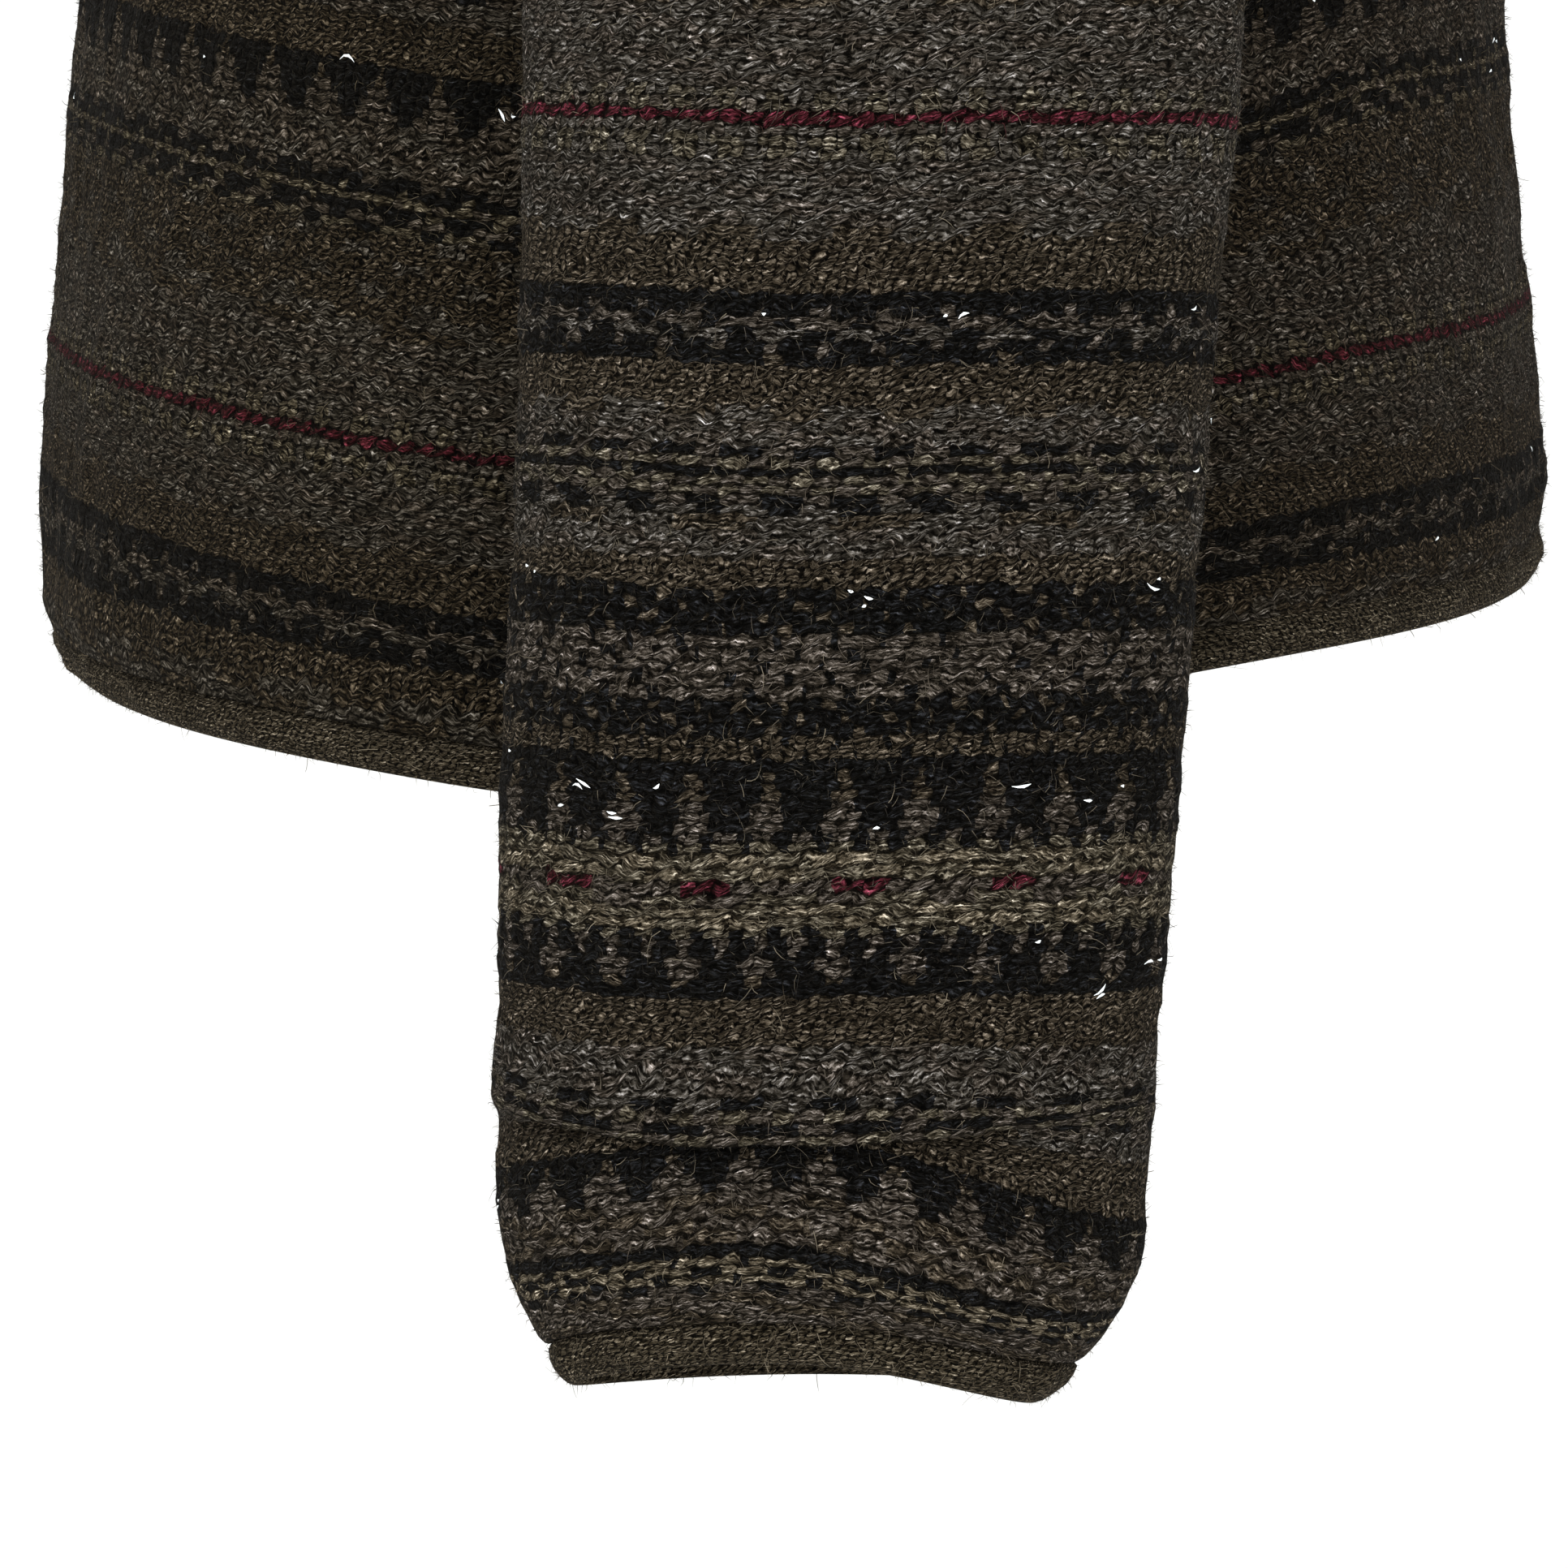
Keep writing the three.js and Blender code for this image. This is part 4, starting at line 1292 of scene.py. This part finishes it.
def cuff_band(name, mirror):
    turns = np.linspace(-math.pi, math.pi, CUFF_BAND["columns"] + 1)[:-1]
    lumps = sum(tall * np.sin(turns * count + phase) for tall, count, phase in CUFF_LUMPS)
    sections = []
    for row in BAND_SECTION:
        along = row["height"] * CUFF_BAND["height"] + 0 * turns
        inward = row["inward"] - lumps * (row["inward"] < 1)
        sections.append(sleeve_point(turns, along, inward))
    return band_piece(name, np.array(sections), True, mirror)


cuff_left, cuff_form = cuff_band("left_cuff_band", False)
cuff_right, _ = cuff_band("right_cuff_band", True)
report(cuff_left)

# %% [markdown]
# The neckband stands on the neck edges of both panels and leans in. It is doubled over, so its top
# edge is round and thick, and it is lower over the shoulders than at the front.

# %% Knit the neckband
NECKBAND = {"rise": 21, "side_rise": 14, "narrowing": 0.87, "middle_y": -20, "clearance": 0.2}
NECKBAND_COLUMNS = 150
NECKBAND_SECTION = table(
    ("height", "inward"),
    (-0.16, 1.6),
    (0.0, 0.9),
    (0.08, 0.1),
    (0.3, -0.4),
    (0.6, -0.5),
    (0.85, -0.3),
    (0.97, 0.6),
    (1.0, 1.8),
    (0.96, 3.0),
    (0.7, 3.6),
    (0.35, 3.7),
    (-0.1, 3.4),
)


def neck_edge(count):
    """The neck edge, once round from the left shoulder by the front to the right and back."""
    turns = np.linspace(0, 2 * math.pi, count, endpoint=False)
    x = NECK_HALF_WIDTH * np.cos(turns)
    angle = np.sign(x) * np.arcsin((np.abs(x) / SHOULDER_TIP_X) ** (ROUNDNESS / 2))
    front_side = np.sin(turns) >= 0
    points = [body_point(side, angle, top_level(side, x)) for side in (-1, 1)]
    return np.where(front_side[:, None], points[0], points[1])


def knit_neckband(name):
    edge = neck_edge(NECKBAND_COLUMNS)
    middle = np.stack([0 * edge[:, 0], NECKBAND["middle_y"] + 0 * edge[:, 0], edge[:, 2]], axis=-1)
    away = edge - middle
    reach = np.linalg.norm(away, axis=1)
    aside = (edge[:, 0] / NECK_HALF_WIDTH) ** 2
    rise = NECKBAND["rise"] + (NECKBAND["side_rise"] - NECKBAND["rise"]) * aside
    sections = []
    for row in NECKBAND_SECTION:
        narrow = 1 + (NECKBAND["narrowing"] - 1) * row["height"]
        inward = row["inward"] + NECKBAND["clearance"]
        place = middle + away * ((reach * narrow - inward) / reach)[:, None]
        place[:, 2] += rise * row["height"]
        sections.append(place)
    return band_piece(name, np.array(sections), True)


neckband, neck_form = knit_neckband("neck_band")
report(neckband)

# %% [markdown]
# ## Loose wool
# Brushed wool stands up in fine curved hairs, and they soften the sweater's outline. Some hairs are
# painted pale and all are a little brighter than their yarn, a painted highlight for the light they
# catch. A long hair is a thin tapered ribbon of three links, a shorter one has two, and the
# shortest are single slivers. All the hairs of one piece are one mesh made from arrays. A hair
# takes the colour of the row that it grows from.

# %% Grow the hairs
HAIRS = table(
    ("count", "shortest", "longest", "shares", "width", "lift", "pale_highlight"),
    (4000, 2.0, 5.0, (0.0, 0.36, 0.7), 0.12, 0.45, 0.8),
    (14000, 1.4, 3.4, (0.0, 0.45), 0.12, 0.8, 0.7),
    (36000, 0.8, 2.2, (0.0,), 0.15, 1.2, 0.4),
)


# How hairs differ: their turn off the row and their bend are spreads, and the rest are powers, ends
# and factors of a random share.
HAIR_TURN = 0.9
HAIR_BEND = 0.75
LENGTH_POWER = 1.8
HAIR_LIFT = {"least": 0.1, "power": 1.5, "arch": 2.2, "middle": 0.75, "tip": 0.7, "sunk": 0.1}
HAIR_WIDTH = {"least": 0.7, "spread": 0.6, "taper": 0.4}
# Hairs are brighter than their yarn and some are painted pale: a painted highlight.
HAIR_TONE_AND_HIGHLIGHT = {"least": 0.04, "power": 3.5, "bright": 1.25}


def hair_material():
    material, tree = new_material("Loose brushed wool fibre")
    colour = add_node(tree, "Attribute", attribute_name="fibre")
    look = {"Base Color": colour, "Roughness": 0.8, "Specular IOR Level": 0.1}
    wool = add_node(tree, "BsdfPrincipled", look)
    add_node(tree, "OutputMaterial", {"Surface": wool})
    return material


fibre = hair_material()


def pick_spots(form, count, chance):
    """Random spots on the cloth, as likely anywhere on its area, with their rows."""
    points = form["points"]
    sides = np.cross(points[:-1, 1:] - points[:-1, :-1], points[1:, :-1] - points[:-1, :-1])
    weights = np.linalg.norm(sides, axis=2).ravel()
    weights /= weights.sum()
    faces = chance.choice(len(weights), count, p=weights)
    row, column = np.divmod(faces, points.shape[1] - 1)
    up, along = chance.random((2, count))[..., None]
    corner = points[row, column]
    spots = corner + (points[row, column + 1] - corner) * along
    spots = spots + (points[row + 1, column] - corner) * up
    return spots, row, column


def grow_hairs(name, form, seed, mirror=False, amount=1):
    """Long hairs bend along three links, and short ones are single slivers. A small piece grows
    only its amount of them."""
    chance = np.random.default_rng(seed)
    points, normals, rows = form["points"], form["normals"], form["rows"]
    # On the body panels the hair colours carry the same painted shade as the yarns.
    yarns = np.array([linear(YARN[row[1]]) for row in rows]) * form["painted_light_and_tone"]
    pale_highlight = np.array(linear("#857b69")) * form["painted_light_and_tone"]
    corners, faces, colours = [], [], []
    placed = 0
    for kind in HAIRS:
        count, shares = int(kind["count"] * amount), kind["shares"]
        spots, row, column = pick_spots(form, count, chance)
        normal = normals[row, column]
        along_row = unit(points[row, column + 1] - points[row, column])
        turn = chance.normal(0, HAIR_TURN, (count, 1))
        way = chance.choice([-1, 1], (count, 1))
        towards = along_row * np.cos(turn) * way + np.cross(normal, along_row) * np.sin(turn)
        aside = np.cross(normal, towards)
        longer = chance.random((count, 1)) ** LENGTH_POWER
        length = kind["shortest"] + (kind["longest"] - kind["shortest"]) * longer
        lift = HAIR_LIFT["least"] + kind["lift"] * chance.random((count, 1)) ** HAIR_LIFT["power"]
        bend = chance.normal(0, HAIR_BEND, (count, 1))
        thicker = HAIR_WIDTH["least"] + HAIR_WIDTH["spread"] * chance.random((count, 1))
        width = kind["width"] * thicker
        stations = []
        for share in shares:
            centre = spots + towards * length * share
            centre = centre + aside * bend * length * share * (share - 0.25)
            arch = math.sin(share * HAIR_LIFT["arch"])
            rise = length * lift * arch * HAIR_LIFT["middle"] - HAIR_LIFT["sunk"]
            centre = centre + normal * rise
            half = aside * width * (1 - HAIR_WIDTH["taper"] * share) / 2
            stations += [centre - half, centre + half]
        tip = spots + towards * length + aside * bend * length * 0.75
        stations.append(tip + normal * length * lift * HAIR_LIFT["tip"])
        corners.append(np.stack(stations, axis=1).reshape(-1, 3))
        size, links = len(stations), len(shares)
        for first in range(placed, placed + count * size, size):
            for step in range(first, first + 2 * links - 2, 2):
                faces.append((step, step + 1, step + 3, step + 2))
            faces.append((first + size - 3, first + size - 2, first + size - 1))
        placed += count * size
        # Some hairs are painted pale and all are brightened, as a painted highlight.
        paler = kind["pale_highlight"] * chance.random((count, 1)) ** HAIR_TONE_AND_HIGHLIGHT["power"]
        share = HAIR_TONE_AND_HIGHLIGHT["least"] + paler
        own_yarn = yarns[np.minimum(row, len(rows) - 1)]
        colour = own_yarn * (1 - share) * HAIR_TONE_AND_HIGHLIGHT["bright"] + pale_highlight * share
        colours.append(np.repeat(colour, links, axis=0))
    piece = new_piece(name, np.concatenate(corners), faces, fibre, mirror, smooth=False)
    colour = np.concatenate(colours)
    colour = np.concatenate([colour, np.ones((len(colour), 1))], axis=1)
    layer = piece.data.attributes.new("fibre", "FLOAT_COLOR", "FACE")
    layer.data.foreach_set("color", colour.astype(np.float32).ravel())
    return piece


# %% Grow hair on each piece
hairs_front = grow_hairs("front_loose_wool", front_form, 1)
hairs_back = grow_hairs("back_loose_wool", back_form, 2)
hairs_left = grow_hairs("left_sleeve_loose_wool", sleeve_form, 3)
hairs_right = grow_hairs("right_sleeve_loose_wool", sleeve_form, 4, True)
hairs_hem_front = grow_hairs("front_hem_loose_wool", hem_front_form, 5, False, 0.05)
hairs_hem_back = grow_hairs("back_hem_loose_wool", hem_back_form, 6, False, 0.05)
hairs_cuff_left = grow_hairs("left_cuff_loose_wool", cuff_form, 7, False, 0.03)
hairs_cuff_right = grow_hairs("right_cuff_loose_wool", cuff_form, 8, True, 0.03)
hairs_neck = grow_hairs("neck_loose_wool", neck_form, 9, False, 0.06)
report(hairs_left)

# %% [markdown]
# ## Glints
# A thread of bright film runs through the black yarn and shows as short white slivers, a little
# bent. They are modelled as small curved strips lying on the stitches of the darkest rows, with a
# faint painted glow.

# %% Scatter the glints
GLINTS = {"body": 90, "sleeve": 170}
TRIES_PER_GLINT = 14
OFF_BLACK_CHANCE = 0.03
GLINT_TILT, GLINT_BEND = 0.2, 0.14
GLINT_LENGTH = {"shortest": 0.8, "longer": 3.2}
GLINT_SCATTER = {"across": 1.6, "up": 0.5}
GLINT_STATIONS = ((-0.5, 0.08), (-0.22, 0.36), (0.12, 0.56), (0.36, 0.3), (0.5, 0.06))


def film_material():
    material, tree = new_material("Faintly glowing film thread")
    # The emission is a faint painted glow; the thread is no lamp.
    film = add_node(tree, "BsdfPrincipled", {
        "Base Color": (*linear("#eef2f2"), 1), "Roughness": 0.3, "Specular IOR Level": 0.7,
        "Emission Color": (*linear("#dfe8ea"), 1), "Emission Strength": 0.25,
    })
    add_node(tree, "OutputMaterial", {"Surface": film})
    return material


film = film_material()


def scatter_glints(name, form, count, seed, mirror=False):
    chance = np.random.default_rng(seed)
    spots, row, column = pick_spots(form, count * TRIES_PER_GLINT, chance)
    rows = form["rows"]
    dark = np.array([r[1] == "black" for r in rows])[np.minimum(row, len(rows) - 1)]
    kept = np.flatnonzero(dark | (chance.random(len(row)) < OFF_BLACK_CHANCE))[:count]
    kept = np.repeat(kept, chance.choice([1, 1, 1, 2], len(kept)))
    spots, row, column = spots[kept], row[kept], column[kept]
    points, normals = form["points"], form["normals"]
    normal = normals[row, column]
    towards = unit(points[row, column + 1] - points[row, column])
    up = np.cross(normal, towards)
    tilt = chance.normal(0, GLINT_TILT, len(kept))[:, None]
    level_way, level_up = towards, up
    towards = level_way * np.cos(tilt) + level_up * np.sin(tilt)
    up = level_up * np.cos(tilt) - level_way * np.sin(tilt)
    longer = chance.random(len(kept)) ** LENGTH_POWER
    length = (GLINT_LENGTH["shortest"] + GLINT_LENGTH["longer"] * longer)[:, None]
    spots = spots + towards * chance.normal(0, GLINT_SCATTER["across"], (len(kept), 1))
    spots = spots + up * chance.normal(0, GLINT_SCATTER["up"], (len(kept), 1))
    bend = chance.normal(0, GLINT_BEND, len(kept))[:, None]
    stations = []
    # A sliver is a strip through stations: each has its share of the length and its width. It
    # arches over the yarn and dips at its ends.
    for share, width in GLINT_STATIONS:
        centre = spots + towards * length * share + up * bend * length * (4 * share**2 - 0.4)
        centre = centre + normal * (0.55 - 0.9 * share**2)
        stations += [centre - up * width / 2, centre + up * width / 2]
    size = len(stations)
    faces = []
    for first in range(0, len(kept) * size, size):
        for step in range(first, first + size - 2, 2):
            faces.append((step, step + 1, step + 3, step + 2))
    corners = np.stack(stations, axis=1).reshape(-1, 3)
    return new_piece(name, corners, faces, film, mirror)


glints_front = scatter_glints("front_glints", front_form, GLINTS["body"], 21)
glints_back = scatter_glints("back_glints", back_form, GLINTS["body"], 22)
glints_left = scatter_glints("left_sleeve_glints", sleeve_form, GLINTS["sleeve"], 23)
glints_right = scatter_glints("right_sleeve_glints", sleeve_form, GLINTS["sleeve"], 24, True)
print("glints scattered")

# %% [markdown]
# ## Fit the pieces to the solids
# Each piece of cloth stands for its solid and rides on the one rigid body. Its flat size is the
# size it was cut or knitted to before it was sewn and worn.

PIECES = [
    (front, "front", "patterned_knit", (0.565, 0.60), 0.300, [hairs_front, glints_front]),
    (back, "back", "patterned_knit", (0.565, 0.60), 0.305, [hairs_back, glints_back]),
    (sleeve_left, "sleeve_left", "patterned_knit", (0.48, 0.632), 0.172, [hairs_left, glints_left]),
    (
        sleeve_right, "sleeve_right", "patterned_knit", (0.48, 0.632), 0.172,
        [hairs_right, glints_right],
    ),
    (neckband, "neckband", "plain_knit", (0.50, 0.025), None, [hairs_neck]),
    (hem_front, "hem_band_front", "plain_knit", (0.58, 0.01), None, [hairs_hem_front]),
    (hem_back, "hem_band_back", "plain_knit", (0.58, 0.01), None, [hairs_hem_back]),
    (cuff_left, "cuff_band_left", "plain_knit", (0.24, 0.01), None, [hairs_cuff_left]),
    (cuff_right, "cuff_band_right", "plain_knit", (0.24, 0.01), None, [hairs_cuff_right]),
]

for piece, node, slot, flat, area, extras in PIECES:
    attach(piece, "root")
    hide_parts(node)
    for extra in extras:
        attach(extra, "root")
print(len(PIECES), "pieces of cloth")
